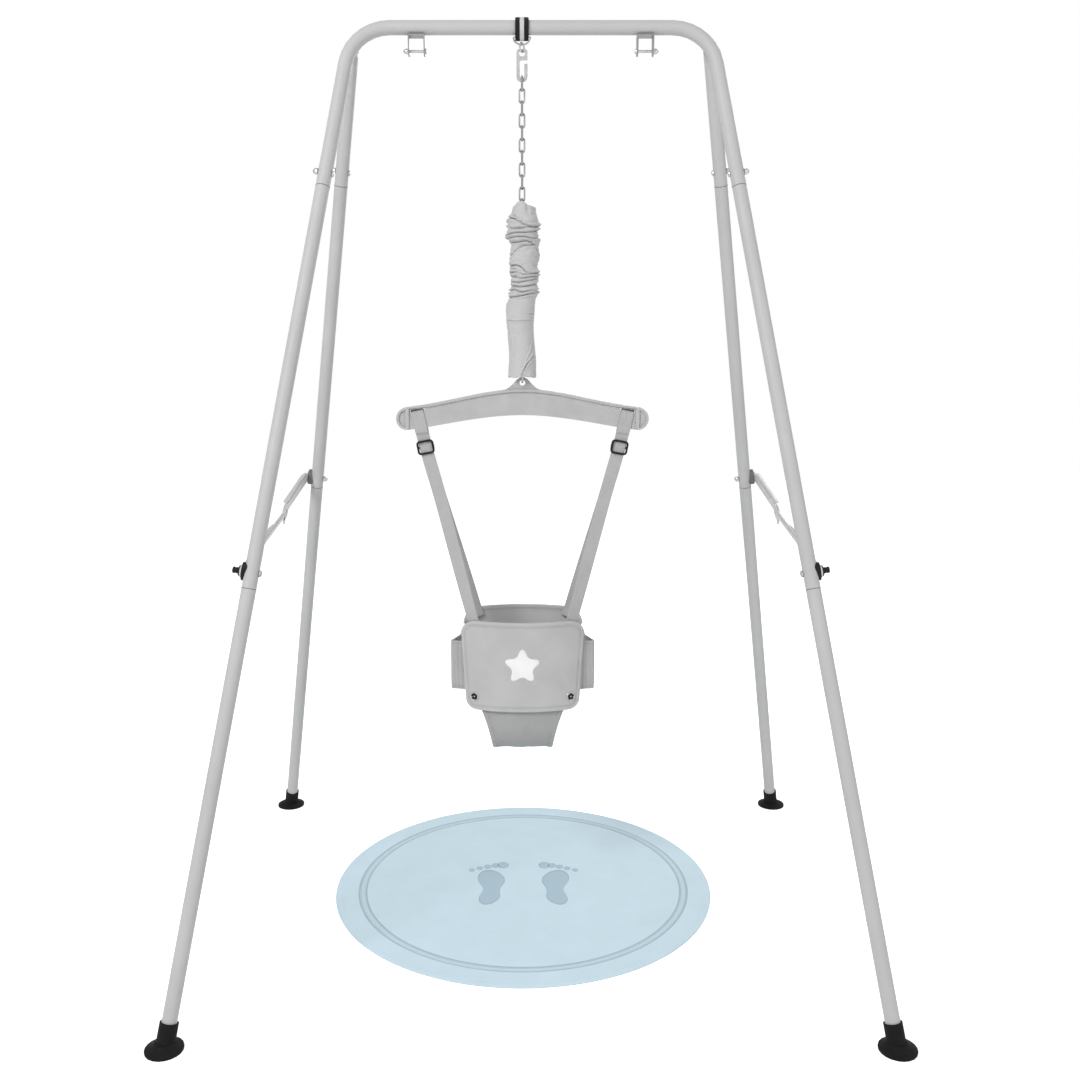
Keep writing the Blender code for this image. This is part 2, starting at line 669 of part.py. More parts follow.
def flipped(profile, about):
    """A turned profile upside down about a height."""
    return [(radius, 2 * about - height) for radius, height in reversed(profile)]


def leg_bolts():
    """The bolts of the four upper slip joints, their cap nuts outward."""
    profile = bolt_profile(-TUBE_RADIUS, TUBE_RADIUS)
    for name, centre in (("front_stub_bolt", spigot_bolt(front_leg, STUB_SEAM_HEIGHT)),
                         ("rear_stub_bolt", spigot_bolt(rear_leg, REAR_STUB_SEAM_HEIGHT))):
        other_side(finished(name, turned(profile, frame_matrix(centre, SIDE_NORMAL), SMALL_SIDES), STEEL))


def saddle(centre, thickness):
    """A curved spacer between a leg and the end of its brace."""
    local = frame_matrix(centre, SIDE_NORMAL, SIDE_UP)
    inner = TUBE_RADIUS * 0.55
    outer = TUBE_RADIUS + thickness
    half_l, half_w = SADDLE_LENGTH / 2, SADDLE_WIDTH / 2
    outline = (arc((half_l - half_w, 0), half_w, -90, 90, 6) + arc((half_w - half_l, 0), half_w, 90, 270, 6))
    return meshed(flat([outline], outer - inner, local @ Matrix.Translation((0, 0, (outer + inner) / 2))))


def side_point(base, out):
    """A point moved square out of the plane of the legs."""
    return base + SIDE_NORMAL * out


def saddles():
    for name, line, height, thickness in (
            ("front_saddle", front_leg, FRONT_PIVOT_HEIGHT, SADDLE_THICKNESS),
            ("rear_saddle", rear_leg, REAR_PIVOT_HEIGHT, REAR_LAYER - TUBE_RADIUS - CLEARANCE)):
        centre = line(height)
        axis = (line(height + 0.1) - centre).normalized()
        spacer = saddle(centre, thickness)
        tube = rod(centre - axis * 0.08, centre + axis * 0.08, TUBE_RADIUS + CLEARANCE, 24)
        cut_all(spacer, [tube, side_hole(centre)])
        other_side(finished(name, spacer, BLACK_PLASTIC))


def brace_points():
    """The two end pivots and the middle hinge of the right brace, in the plane of the legs."""
    front = front_leg(FRONT_PIVOT_HEIGHT)
    rear = rear_leg(REAR_PIVOT_HEIGHT)
    along = (front - rear).normalized()
    down = (-SIDE_UP - along * along.dot(-SIDE_UP)).normalized()
    middle = rear + (front - rear) * BRACE_HINGE_SHARE + down * BRACE_HINGE_DROP
    return front, middle, rear


def brace_half(name, end, middle, layer, rib_out, tab, rivet):
    """A pressed steel strip from a leg's pivot to the middle hinge, with a rib along it.

    The middle hinge's rivet is parted between the two strips, because that pivot is the open one.
    """
    length = (middle - end).length
    direction = (middle - end).normalized()
    local = frame_matrix(side_point(end, layer + BRACE_THICKNESS / 2), SIDE_NORMAL, direction)
    half = BRACE_HEIGHT / 2
    lower = 1 if local.to_3x3().col[1].dot(SIDE_UP) < 0 else -1
    a = math.degrees(math.asin(half / BRACE_END_RADIUS * 0.85))
    b = math.degrees(math.asin(half / BRACE_HINGE_RADIUS * 0.8))
    outline = arc((0, 0), BRACE_END_RADIUS, a, 360 - a, 12)
    outline += arc((length, 0), BRACE_HINGE_RADIUS, b - 180, 180 - b, 16)
    plate = meshed(flat([outline, circle((0, 0), HOLE_RADIUS)], BRACE_THICKNESS, local))
    if tab:
        root = length - BRACE_HINGE_RADIUS * 0.4
        finger = [(root - 0.016, lower * half * 0.6), (root - 0.006, lower * FINGER_TAB_LENGTH),
                  (root, lower * (FINGER_TAB_LENGTH + 0.001)), (root + 0.006, lower * half * 0.9)]
        join(plate, [meshed(flat([finger], BRACE_THICKNESS, local))])
    margin = BRACE_HINGE_RADIUS + 0.012
    rib_length = length - 2 * margin
    rise = rib_out * (BRACE_THICKNESS / 2 + BRACE_RIB_HEIGHT / 2 - 0.0002)
    rib = block((rib_length, BRACE_RIB_WIDTH, BRACE_RIB_HEIGHT),
                local @ Matrix.Translation((length / 2, 0, rise)))
    head = [(0, RIVET_HEAD_HEIGHT), (RIVET_HEAD_RADIUS * 0.6, RIVET_HEAD_HEIGHT), (RIVET_HEAD_RADIUS, 0.0003),
            (RIVET_HEAD_RADIUS, -0.0004), (0, -0.0004)]
    if rivet < 0:
        head = flipped(head, 0)
    seat = Matrix.Translation((length, 0, rivet * BRACE_THICKNESS / 2))
    join(plate, [rib, meshed(turned(head, local @ seat, SMALL_SIDES))])
    return other_side(finished(name, plate, BRACE_STEEL))


def braces():
    front, middle, rear = brace_points()
    brace_half("front_brace", front, middle, FRONT_LAYER, -1, True, -1)
    brace_half("rear_brace", rear, middle, REAR_LAYER, 1, False, 1)


def brace_bolts():
    """The pivot bolts: a hand knob outside each front leg, a plain head outside each rear leg."""
    front, _, rear = brace_points()
    out = FRONT_LAYER + BRACE_THICKNESS + CLEARANCE
    local = frame_matrix(front, SIDE_NORMAL)
    inner = -TUBE_RADIUS - CLEARANCE
    head = BOLT_HEAD_RADIUS
    shank_end = out + KNOB_LENGTH * 0.6
    shank = [(0, shank_end), (BOLT_RADIUS, shank_end), (BOLT_RADIUS, inner), (head, inner),
             (head, inner - BOLT_HEAD_HEIGHT * 0.8), (head * 0.5, inner - BOLT_HEAD_HEIGHT * 1.3),
             (0, inner - BOLT_HEAD_HEIGHT * 1.3)]
    other_side(finished("front_pivot_bolt", turned(shank, local, SMALL_SIDES), STEEL))
    bore = BOLT_RADIUS + CLEARANCE
    knob = [(0, out + KNOB_LENGTH), (KNOB_RADIUS * 0.55, out + KNOB_LENGTH),
            (KNOB_RADIUS * 0.62, out + KNOB_LENGTH * 0.8), (KNOB_RADIUS * 0.5, out + KNOB_LENGTH * 0.6),
            (KNOB_RADIUS * 0.62, out + KNOB_LENGTH * 0.42), (KNOB_RADIUS * 0.55, out + KNOB_LENGTH * 0.3),
            (KNOB_RADIUS, out + KNOB_LENGTH * 0.18), (KNOB_RADIUS, out), (bore, out),
            (bore, shank_end + CLEARANCE), (0, shank_end + CLEARANCE)]
    other_side(finished("pivot_knob", turned(knob, local, SMALL_SIDES), BLACK_PLASTIC))
    middle_height = (REAR_LAYER + BRACE_THICKNESS - TUBE_RADIUS) / 2
    rear_profile = flipped(bolt_profile(-TUBE_RADIUS, REAR_LAYER + BRACE_THICKNESS), middle_height)
    other_side(finished("rear_pivot_bolt", turned(rear_profile, frame_matrix(rear, SIDE_NORMAL), SMALL_SIDES),
                        STEEL))


def swing_brackets():
    """Two pressed U brackets under the bar with a cross bolt each, for hanging a swing seat instead."""
    top = BAR_HEIGHT - TUBE_RADIUS - CLEARANCE
    bolt_z = BAR_HEIGHT - BRACKET_BOLT_DROP
    half = BRACKET_WIDTH / 2
    deep = BRACKET_TOP_DEPTH / 2
    drop = top - bolt_z
    ear = [(deep, drop)] + arc((0, 0), BRACKET_END_RADIUS, 0, -180, 10) + [(-deep, drop)]
    centre = Vector((BRACKET_X, 0, bolt_z))
    local = frame_matrix(centre, X_AXIS, Y_AXIS)
    stirrup = meshed(flat([ear], BRACKET_WIDTH, local))
    inner = half - BRACKET_PLATE
    low = -BRACKET_END_RADIUS - 0.01
    high = drop - BRACKET_PLATE
    window = block((0.06, high - low, 2 * inner), local @ Matrix.Translation((0, (high + low) / 2, 0)))
    hole = rod(centre - X_AXIS * 0.03, centre + X_AXIS * 0.03, BRACKET_BOLT_RADIUS + BOLT_HOLE_GAP, CUT_SIDES)
    cut_all(stirrup, [window, hole])
    other_side(finished("swing_bracket", stirrup, FRAME_PAINT))
    profile = bolt_profile(-half, half, BRACKET_BOLT_RADIUS)
    other_side(finished("swing_bracket_bolt", turned(profile, frame_matrix(centre, X_AXIS), SMALL_SIDES), STEEL))


def hull_loop(upper_z, upper_r, lower_z, lower_r, steps):
    """The outline of a band stretched round two circles one above the other, in Y and Z."""
    lean = math.degrees(math.asin((upper_r - lower_r) / (upper_z - lower_z)))
    return (arc((0, upper_z), upper_r, -lean, 180 + lean, steps)
            + arc((0, lower_z), lower_r, 180 + lean, 360 - lean, max(6, steps // 2)))


def bar_strap():
    """The webbing band over the bar that carries the D-ring."""
    gap = CLEARANCE
    inner = hull_loop(BAR_HEIGHT, TUBE_RADIUS + gap, D_RING_HEIGHT, RING_WIRE_RADIUS + gap, 14)
    outer = hull_loop(BAR_HEIGHT, TUBE_RADIUS + gap + BAR_WEBBING_THICKNESS, D_RING_HEIGHT,
                      RING_WIRE_RADIUS + gap + BAR_WEBBING_THICKNESS, 14)
    local = frame_matrix((JUMPER_X, 0, 0), X_AXIS, Y_AXIS)
    return finished("bar_strap", flat([outer, inner], WEBBING_WIDTH, local), BLACK_WEBBING)


def hang_rings():
    """The D-ring in the webbing and the round ring that joins it to the hook plate."""
    half = D_RING_HALF_WIDTH
    bow = [(half * math.cos(math.radians(a)), -D_RING_DEPTH * math.sin(math.radians(a)))
           for a in range(10, 171, 16)]
    corner = [(-half * 0.93, 0), (half * 0.93, 0)]
    points = [(JUMPER_X + x, 0, D_RING_HEIGHT + z) for x, z in bow + corner]
    finished("d_ring", wire(points, RING_WIRE_RADIUS, cyclic=True), STEEL)
    bpy.ops.mesh.primitive_torus_add(location=(JUMPER_X, 0, ROUND_RING_HEIGHT),
                                     rotation=(math.pi / 2, 0, math.radians(ROUND_RING_TURN)), major_segments=18,
                                     minor_segments=6, major_radius=ROUND_RING_RADIUS,
                                     minor_radius=RING_WIRE_RADIUS)
    return finished("round_ring", bpy.context.object, STEEL)


def hook_plate():
    """A flat steel hook with a J-shaped slot that opens to the right."""
    top, bottom = HOOK_TOP, HOOK_BOTTOM
    half = HOOK_WIDTH / 2
    top_r, low_r = half * 0.45, half * 0.9
    outline = (arc((half - low_r, bottom + low_r), low_r, -90, 0, 6)
               + arc((half - top_r, top - top_r), top_r, 0, 90, 4)
               + arc((top_r - half, top - top_r), top_r, 90, 180, 4)
               + arc((low_r - half, bottom + low_r), low_r, 180, 270, 6))
    local = frame_matrix((JUMPER_X, 0, 0), -Y_AXIS, X_AXIS)
    eye = circle((0, HOOK_EYE_HEIGHT), HOOK_EYE_RADIUS, 16)
    plate = meshed(flat([outline, eye], HOOK_THICKNESS, local))
    slot_r = HOOK_SLOT_WIDTH / 2
    low = HOOK_SLOT_BOTTOM + slot_r
    rise = low + HOOK_MOUTH_RISE
    mouth = [(slot_r, rise - slot_r * 0.6), (1.5 * half, rise - slot_r * 0.2), (1.5 * half, rise + slot_r * 1.1)]
    slot = arc((0, low), slot_r, 180, 360, 8) + mouth + arc((0, rise), slot_r, 80, 180, 5)
    cut_all(plate, [meshed(flat([slot], HOOK_THICKNESS * 3, local))])
    return finished("hook_plate", plate, STEEL)


def link_loop(centre, inner_length, inner_width, wire_radius, in_yz, steps=5):
    """Points of an oval link standing on end."""
    bend = inner_width / 2 + wire_radius
    straight = inner_length / 2 + wire_radius - bend
    outline = arc((0, straight), bend, 0, 180, steps) + arc((0, -straight), bend, 180, 360, steps)
    points = []
    for across, up in outline:
        offset = (0, across, up) if in_yz else (across, 0, up)
        points.append((centre[0] + offset[0], centre[1] + offset[1], centre[2] + offset[2]))
    return points


def chain():
    """Oval links pulled tight, each turned a quarter from the last and touching it."""
    links = []
    for i in range(CHAIN_LINKS):
        centre = (JUMPER_X, 0, FIRST_LINK_HEIGHT - i * CHAIN_PITCH)
        loop = link_loop(centre, CHAIN_INNER_LENGTH, CHAIN_INNER_WIDTH, CHAIN_WIRE_RADIUS, i % 2 == 0)
        links.append(meshed(wire(loop, CHAIN_WIRE_RADIUS, cyclic=True)))
    return finished("chain", join(links[0], links[1:]), DARK_STEEL)


def spring():
    """A tension spring; its upper hook stands in the plane square to the last link."""
    hook_points = []
    for i in range(12):
        a = math.radians(-60 + 330 * i / 11)
        across, up = SPRING_HOOK_RADIUS * math.cos(a), SPRING_HOOK_RADIUS * math.sin(a)
        if CHAIN_LINKS % 2 == 0:
            hook_points.append((JUMPER_X, -across, SPRING_TOP + up))
        else:
            hook_points.append((JUMPER_X + across, 0, SPRING_TOP + up))
    coil_points = []
    lead = SPRING_HOOK_RADIUS / 2
    for i in range(SPRING_TURNS * SPRING_STEPS + 1):
        turn = i / SPRING_STEPS
        a = math.tau * turn - math.pi / 2
        coil_points.append((JUMPER_X + SPRING_RADIUS * math.cos(a), SPRING_RADIUS * math.sin(a),
                            COIL_TOP - lead - (SPRING_COIL_LENGTH - lead) * turn / SPRING_TURNS))
    path = list(reversed(hook_points)) + coil_points
    return finished("coil_spring", wire(path, SPRING_WIRE_RADIUS), DARK_STEEL)


def spring_lower_eye():
    """A plug in the spring's last turns that ends in a round eye."""
    plug_r = SPRING_RADIUS * math.cos(math.pi / SPRING_STEPS) - SPRING_WIRE_RADIUS - CLEARANCE
    top = PLUG_SEAT + PLUG_LENGTH
    plug = turned([(0, top), (plug_r * 0.8, top), (plug_r, top - PLUG_LENGTH * 0.27), (plug_r, PLUG_SEAT),
                   (SPRING_RADIUS, PLUG_SEAT), (SPRING_RADIUS, PLUG_SEAT - PLUG_FLANGE), (0, PLUG_SEAT - PLUG_FLANGE)],
                  Matrix.Translation((JUMPER_X, 0, 0)))
    ring = [(JUMPER_X + x, 0, z) for x, z in circle((0, LOWER_EYE_HEIGHT), LOWER_EYE_RADIUS, 14)]
    made = join(meshed(plug), [meshed(wire(ring, SPRING_WIRE_RADIUS, cyclic=True))])
    return finished("spring_lower_eye", made, STEEL)


def hanger_link():
    """The oval link between the spring's lower eye and the hanger's eye."""
    centre = (JUMPER_X, 0, (LINK_TOP + LINK_BOTTOM) / 2)
    points = link_loop(centre, LINK_INNER_LENGTH, LINK_INNER_WIDTH, LINK_WIRE_RADIUS, True, 6)
    return finished("hanger_link", wire(points, LINK_WIRE_RADIUS, cyclic=True), STEEL)


def sleeve():
    """The gathered fabric sleeve round the spring, open at both ends."""
    top, bottom = SLEEVE_TOP, SLEEVE_BOTTOM
    span = top - bottom
    outer = [(SLEEVE_GATHER_RADIUS * 0.87, top), (SLEEVE_GATHER_RADIUS, top - span * 0.03),
             (SLEEVE_GATHER_RADIUS, top - span * 0.3), (SLEEVE_RADIUS, top - span * 0.5),
             (SLEEVE_RADIUS, bottom + span * 0.04), (SLEEVE_RADIUS * 0.96, bottom)]
    inner = [(radius - SLEEVE_WALL, height) for radius, height in reversed(outer)]
    profile = outer + inner
    return finished("spring_sleeve", turned(profile, Matrix.Translation((JUMPER_X, 0, 0)), 20), SLEEVE_FABRIC)


def mirrored(points):
    """A right-hand outline, given from the middle round to the middle, with its left-hand mirror image."""
    return points + [(-x, z) for x, z in reversed(points) if x > 1e-6]


def hanger_top(steps=11):
    """The hanger's arched top edge, from the middle out to the top of its right end."""
    end = (HANGER_LOBE_X, HANGER_LOBE_HEIGHT + HANGER_LOBE_RADIUS)
    shoulder = (HANGER_LOBE_X * 0.608, end[1] + (HANGER_TOP - end[1]) * 0.307)
    return bezier((0, HANGER_TOP), (HANGER_LOBE_X * 0.328, HANGER_TOP), shoulder, end, steps)


def hanger_web_outline():
    """The thin middle of the hanger, with the raised boss for its eye."""
    inset, boss, reach, eye = HANGER_RIM * 0.16, HANGER_BOSS_RADIUS, HANGER_FLANK_REACH, HANGER_EYE_HEIGHT
    flank = bezier((boss * 0.905, eye + boss * 0.648), (reach * 0.486, eye - boss * 0.19),
                   (reach * 0.649, HANGER_TOP + inset / 2), (reach, HANGER_TOP - boss * 0.238), 7)
    top = [(x, z - inset) for x, z in hanger_top() if x > reach * 1.027]
    lobe = arc((HANGER_LOBE_X, HANGER_LOBE_HEIGHT), HANGER_LOBE_RADIUS - inset, 90, -90, 10)
    low_end = (HANGER_LOBE_X * 0.981, HANGER_LOBE_HEIGHT - HANGER_LOBE_RADIUS + inset * 0.6)
    low = bezier((0, HANGER_BOTTOM), (HANGER_LOBE_X * 0.328, HANGER_BOTTOM),
                 (HANGER_LOBE_X * 0.655, low_end[1] + (HANGER_BOTTOM - low_end[1]) * 0.39), low_end, 10)
    crown = arc((0, eye), boss, 90, 48, 4)
    return mirrored(crown + flank + top + lobe + list(reversed(low)))


def hanger_rim_outline():
    """The thick edge: a band under the arched top that swells into a rounded lobe at each end."""
    top = hanger_top()
    lobe = arc((HANGER_LOBE_X, HANGER_LOBE_HEIGHT), HANGER_LOBE_RADIUS, 90, -78, 9)
    inner_x = SLOT_X + SLOT_LENGTH / 2 + POCKET_WALL * 0.4
    inner_z = SLOT_HEIGHT + SLOT_OPENING / 2 + POCKET_WALL * 0.27
    inner = [(inner_x, HANGER_LOBE_HEIGHT - HANGER_LOBE_RADIUS + POCKET_WALL * 1.33), (inner_x, inner_z)]
    under = [(x, z - HANGER_RIM) for x, z in reversed(top) if x < SLOT_X - SLOT_LENGTH / 2 - POCKET_WALL]
    return mirrored(top + lobe + inner + under)


def hanger():
    """The moulded hanger: a web with a thick rim, an eye, and a strap slot and a pocket near each end."""
    local = frame_matrix((JUMPER_X, 0, 0), -Y_AXIS, X_AXIS)
    half_l, half_h, slope = SLOT_LENGTH / 2, SLOT_OPENING / 2, SLOT_SLOPE
    slot = [(SLOT_X - half_l, SLOT_HEIGHT - half_h + slope * half_l),
            (SLOT_X + half_l, SLOT_HEIGHT - half_h - slope * half_l),
            (SLOT_X + half_l, SLOT_HEIGHT + half_h - slope * half_l),
            (SLOT_X - half_l, SLOT_HEIGHT + half_h + slope * half_l)]
    pocket_x = SLOT_X + half_l + POCKET_WALL * 1.4
    pocket = arc((HANGER_LOBE_X, HANGER_LOBE_HEIGHT), HANGER_LOBE_RADIUS - POCKET_WALL * 1.5, 76, -76, 8)
    pocket = [(max(x, pocket_x), z) for x, z in pocket]
    both_ends = [slot, [(-x, z) for x, z in reversed(slot)]]
    eye = circle((0, HANGER_EYE_HEIGHT), HANGER_EYE_RADIUS, 16)
    web = meshed(flat([hanger_web_outline(), eye] + both_ends, HANGER_WEB, local))
    pockets = [pocket, [(-x, z) for x, z in reversed(pocket)]]
    rim = meshed(flat([hanger_rim_outline()] + pockets, HANGER_THICKNESS, local))
    return finished("hanger", join(web, [rim]), GREY_PLASTIC)


def ribbon(name, points, widths, thickness):
    """A flat strip along a chain of points; widths are the vectors from its middle to one edge."""
    points = [Vector(p) for p in points]
    rings = []
    for i, (point, width) in enumerate(zip(points, widths)):
        tangent = (points[min(i + 1, len(points) - 1)] - points[max(i - 1, 0)]).normalized()
        across = width - tangent * tangent.dot(width)
        across = across.normalized() * width.length
        normal = tangent.cross(across).normalized() * thickness / 2
        rings.append([point + across + normal, point - across + normal,
                      point - across - normal, point + across - normal])
    return ring_loft(rings, name)


def strap_x(height):
    """How far out a shoulder strap hangs at a height."""
    end = PANEL_TOP
    if height > BUCKLE_HEIGHT:
        return BUCKLE_X + (SLOT_X - BUCKLE_X) * (height - BUCKLE_HEIGHT) / (SLOT_HEIGHT - BUCKLE_HEIGHT)
    return STRAP_END_X + (BUCKLE_X - STRAP_END_X) * (height - end) / (BUCKLE_HEIGHT - end)


def panel_depth(x, ellipse_x=PANEL_ELLIPSE_X, ellipse_y=PANEL_ELLIPSE_Y):
    """How far forward of the middle a point of the front panel lies."""
    return ellipse_y * math.sqrt(max(0.0, 1 - (x / ellipse_x) ** 2))


def shoulder_straps():
    """One strap a side: up from inside the front panel, round the hanger's web, down inside the back panel."""
    layer = STRAP_THICKNESS / 2 + STRAP_LAYER_GAP / 2
    web = HANGER_WEB / 2 + CLEARANCE + STRAP_THICKNESS / 2
    end_y = panel_depth(STRAP_END_X) - PANEL_THICKNESS / 2 - STRAP_THICKNESS / 2 - 0.0020
    turn_in = math.atan2(PANEL_ELLIPSE_Y ** 2 * STRAP_END_X, PANEL_ELLIPSE_X ** 2 * panel_depth(STRAP_END_X))
    below_hanger = HANGER_LOBE_HEIGHT - HANGER_LOBE_RADIUS - 0.001
    half = [(end_y, PANEL_TOP - 0.022, 1), (end_y, PANEL_TOP + 0.004, 1), (end_y * 0.86, PANEL_TOP + 0.045, 0.8),
            (end_y * 0.55, PANEL_TOP + 0.11, 0.4), (end_y * 0.2, PANEL_TOP + 0.18, 0.1), (layer, FORK_HEIGHT, 0),
            (layer, BUCKLE_HEIGHT - 0.02, 0), (layer, BUCKLE_HEIGHT + 0.02, 0), (web, below_hanger, 0),
            (web, SLOT_HEIGHT - 0.0035, 0), (web * 0.9, SLOT_HEIGHT + 0.0001, 0), (web * 0.35, SLOT_HEIGHT + 0.0009, 0)]
    path = [(-y, z, -twist * turn_in) for y, z, twist in half]
    path += [(y, z, twist * turn_in) for y, z, twist in reversed(half)]
    for side, name in ((LEFT, "shoulder_strap_left"), (RIGHT, "shoulder_strap_right")):
        points = [(JUMPER_X + side * strap_x(z), y, z) for y, z, _ in path]
        widths = [Vector((side * math.cos(twist), -math.sin(twist), -SLOT_SLOPE)).normalized() * WEBBING_WIDTH / 2
                  for *_, twist in path]
        finished(name, ribbon(name + "_body", points, widths, STRAP_THICKNESS), GREY_WEBBING)


def slide_buckle(side):
    """A three-bar slide that both layers of the strap pass through; it sits a little askew on the strap."""
    slope = math.atan2(BUCKLE_X - strap_x(BUCKLE_HEIGHT - BUCKLE_LENGTH), BUCKLE_LENGTH)
    turn = side * (slope - math.radians(BUCKLE_SKEW))
    along = Vector((math.sin(turn), 0, math.cos(turn)))
    centre = Vector((JUMPER_X + side * BUCKLE_X, 0, BUCKLE_HEIGHT))
    local = frame_matrix(centre, Y_AXIS, along.cross(Y_AXIS))
    half_w, half_l = BUCKLE_WIDTH / 2, BUCKLE_LENGTH / 2
    outer, window = [], []
    for sx, sy, start in ((1, 1, 0), (-1, 1, 90), (-1, -1, 180), (1, -1, 270)):
        middle = (sx * (half_w - BUCKLE_CORNER), sy * (half_l - BUCKLE_CORNER))
        outer += arc(middle, BUCKLE_CORNER, start, start + 90, 4)
        window += arc(middle, BUCKLE_CORNER - BUCKLE_BAR, start, start + 90, 2)
    stack = STRAP_THICKNESS + STRAP_LAYER_GAP / 2 + SLIDING_GAP
    lift = stack + BUCKLE_DEPTH / 2
    front = meshed(flat([outer, window], BUCKLE_DEPTH, local @ Matrix.Translation((0, 0, -lift))))
    cheeks = [block((BUCKLE_CHEEK, BUCKLE_CHEEK_LENGTH, 2 * lift),
                    local @ Matrix.Translation((cheek * (half_w - BUCKLE_CHEEK * 0.6), 0, -CLEARANCE)))
              for cheek in (-1, 1)]
    bar = block((2 * half_w - CLEARANCE, BUCKLE_CROSSBAR, BUCKLE_DEPTH), local @ Matrix.Translation((0, 0, lift)))
    join(front, cheeks + [bar])
    return finished("slide_buckle_" + ("right" if side > 0 else "left"), front, BLACK_PLASTIC)


def panel_half_width(height):
    """The panel's outline: round corners, narrowing a little downward."""
    from_top = PANEL_TOP - height
    if from_top < PANEL_TOP_CORNER:
        lack = PANEL_TOP_CORNER - from_top
        return PANEL_HALF_WIDTH - PANEL_TOP_CORNER + math.sqrt(max(0.0, PANEL_TOP_CORNER ** 2 - lack ** 2))
    above = height - PANEL_BOTTOM
    edge = PANEL_HALF_WIDTH - PANEL_TAPER * (1 - above / PANEL_HEIGHT)
    if above < PANEL_LOWER_CORNER:
        lack = PANEL_LOWER_CORNER - above
        return edge - PANEL_LOWER_CORNER + math.sqrt(max(0.0, PANEL_LOWER_CORNER ** 2 - lack ** 2))
    return edge


def curved_sheet(name, place, columns, rows, thickness, finish):
    """A shell: a grid of points place(u, v), thickened evenly both ways."""
    shape = bmesh.new()
    grid = [[shape.verts.new(place(-1 + 2 * i / columns, j / rows)) for i in range(columns + 1)]
            for j in range(rows + 1)]
    for low, high in zip(grid, grid[1:]):
        for i in range(columns):
            shape.faces.new((low[i], low[i + 1], high[i + 1], high[i]))
    mesh = bpy.data.meshes.new(name)
    shape.to_mesh(mesh)
    shape.free()
    sheet = link(name + "_sheet", mesh)
    wall = sheet.modifiers.new("wall", 'SOLIDIFY')
    wall.thickness = thickness
    wall.offset = 0
    return finished(name, sheet, finish)


def panel_place(face):
    """The curved grid of the front (-1) or back (1) panel."""
    def place(u, v):
        eased = 0.5 - 0.5 * math.cos(math.pi * v)
        height = PANEL_BOTTOM + (PANEL_TOP - PANEL_BOTTOM) * eased
        x = u * panel_half_width(height)
        return JUMPER_X + x, face * panel_depth(x), height
    return place


def waist_band(side):
    """The wing sewn to the back panel: it folds round the side and runs flat inside the front panel."""
    inset = PANEL_THICKNESS + BAND_THICKNESS
    root_x, tip_x = PANEL_HALF_WIDTH * 0.893, PANEL_HALF_WIDTH * 0.8
    edge_x = BAND_HALF_WIDTH - BAND_THICKNESS / 2
    tip_y, flat_y = inset - panel_depth(tip_x), inset - panel_depth(PANEL_HALF_WIDTH)
    fold = 2 * BAND_THICKNESS
    path = bezier((tip_x, tip_y), (tip_x + fold * 1.67, tip_y + fold * 1.17), (edge_x - fold * 2.8, flat_y),
                  (edge_x - fold, flat_y), 4)
    path += bezier((edge_x - fold, flat_y), (edge_x + fold / 3, flat_y), (edge_x + fold / 3, flat_y + fold),
                   (edge_x - fold / 2, flat_y + 2 * fold), 4)
    path += bezier((edge_x - fold / 2, flat_y + 2 * fold), (edge_x - fold * 1.5, flat_y + 6 * fold),
                   (root_x + fold * 1.5, panel_depth(root_x) - 4 * fold), (root_x, panel_depth(root_x)), 6)
    path.append((root_x, panel_depth(root_x)))

    def place(u, v):
        x, y = path[round((u + 1) / 2 * (len(path) - 1))]
        return JUMPER_X + side * x, y, BAND_BOTTOM + BAND_HEIGHT * v
    return curved_sheet("wing", place, len(path) - 1, 1, BAND_THICKNESS, PANEL_FABRIC)


def seat():
    """The sling under the child, from inside the front panel down and up inside the back panel."""
    gap = (PANEL_THICKNESS + SEAT_THICKNESS) / 2 + 0.002
    seat_y = PANEL_ELLIPSE_Y - gap
    path = filleted([(-seat_y, 0, SEAT_TOP), (-seat_y * 0.92, 0, SEAT_BOTTOM), (seat_y * 0.92, 0, SEAT_BOTTOM),
                     (seat_y, 0, SEAT_TOP)], seat_y * 0.82, 5)

    def place(u, v):
        point = path[min(int(v * (len(path) - 1) + 0.5), len(path) - 1)]
        share = (point.z - SEAT_BOTTOM) / (SEAT_TOP - SEAT_BOTTOM)
        half = SEAT_BOTTOM_HALF_WIDTH + (SEAT_TOP_HALF_WIDTH - SEAT_BOTTOM_HALF_WIDTH) * min(1, share * 1.35)
        return JUMPER_X + u * half, point.x * (panel_depth(u * half) - gap) / seat_y, point.z
    return curved_sheet("seat", place, 6, len(path) - 1, SEAT_THICKNESS, SEAT_FABRIC)


def harness():
    """Front and back panels, the back panel's two side wings, and the seat."""
    curved_sheet("front_panel", panel_place(-1), 10, 9, PANEL_THICKNESS, PANEL_FABRIC)
    back = curved_sheet("back_panel_body", panel_place(1), 10, 9, PANEL_THICKNESS, PANEL_FABRIC)
    join(back, [waist_band(LEFT), waist_band(RIGHT)])
    finished("back_panel", back, PANEL_FABRIC)
    seat()


def play_mat():
    """A thin round mat that lies on the floor under the harness."""
    profile = [(0, MAT_THICKNESS), (MAT_RADIUS - MAT_THICKNESS / 4, MAT_THICKNESS),
               (MAT_RADIUS, MAT_THICKNESS * 0.6), (MAT_RADIUS, 0), (0, 0)]
    return finished("play_mat", turned(profile, Matrix.Translation((JUMPER_X, MAT_CENTRE_Y, 0)), 40), MAT_FABRIC)


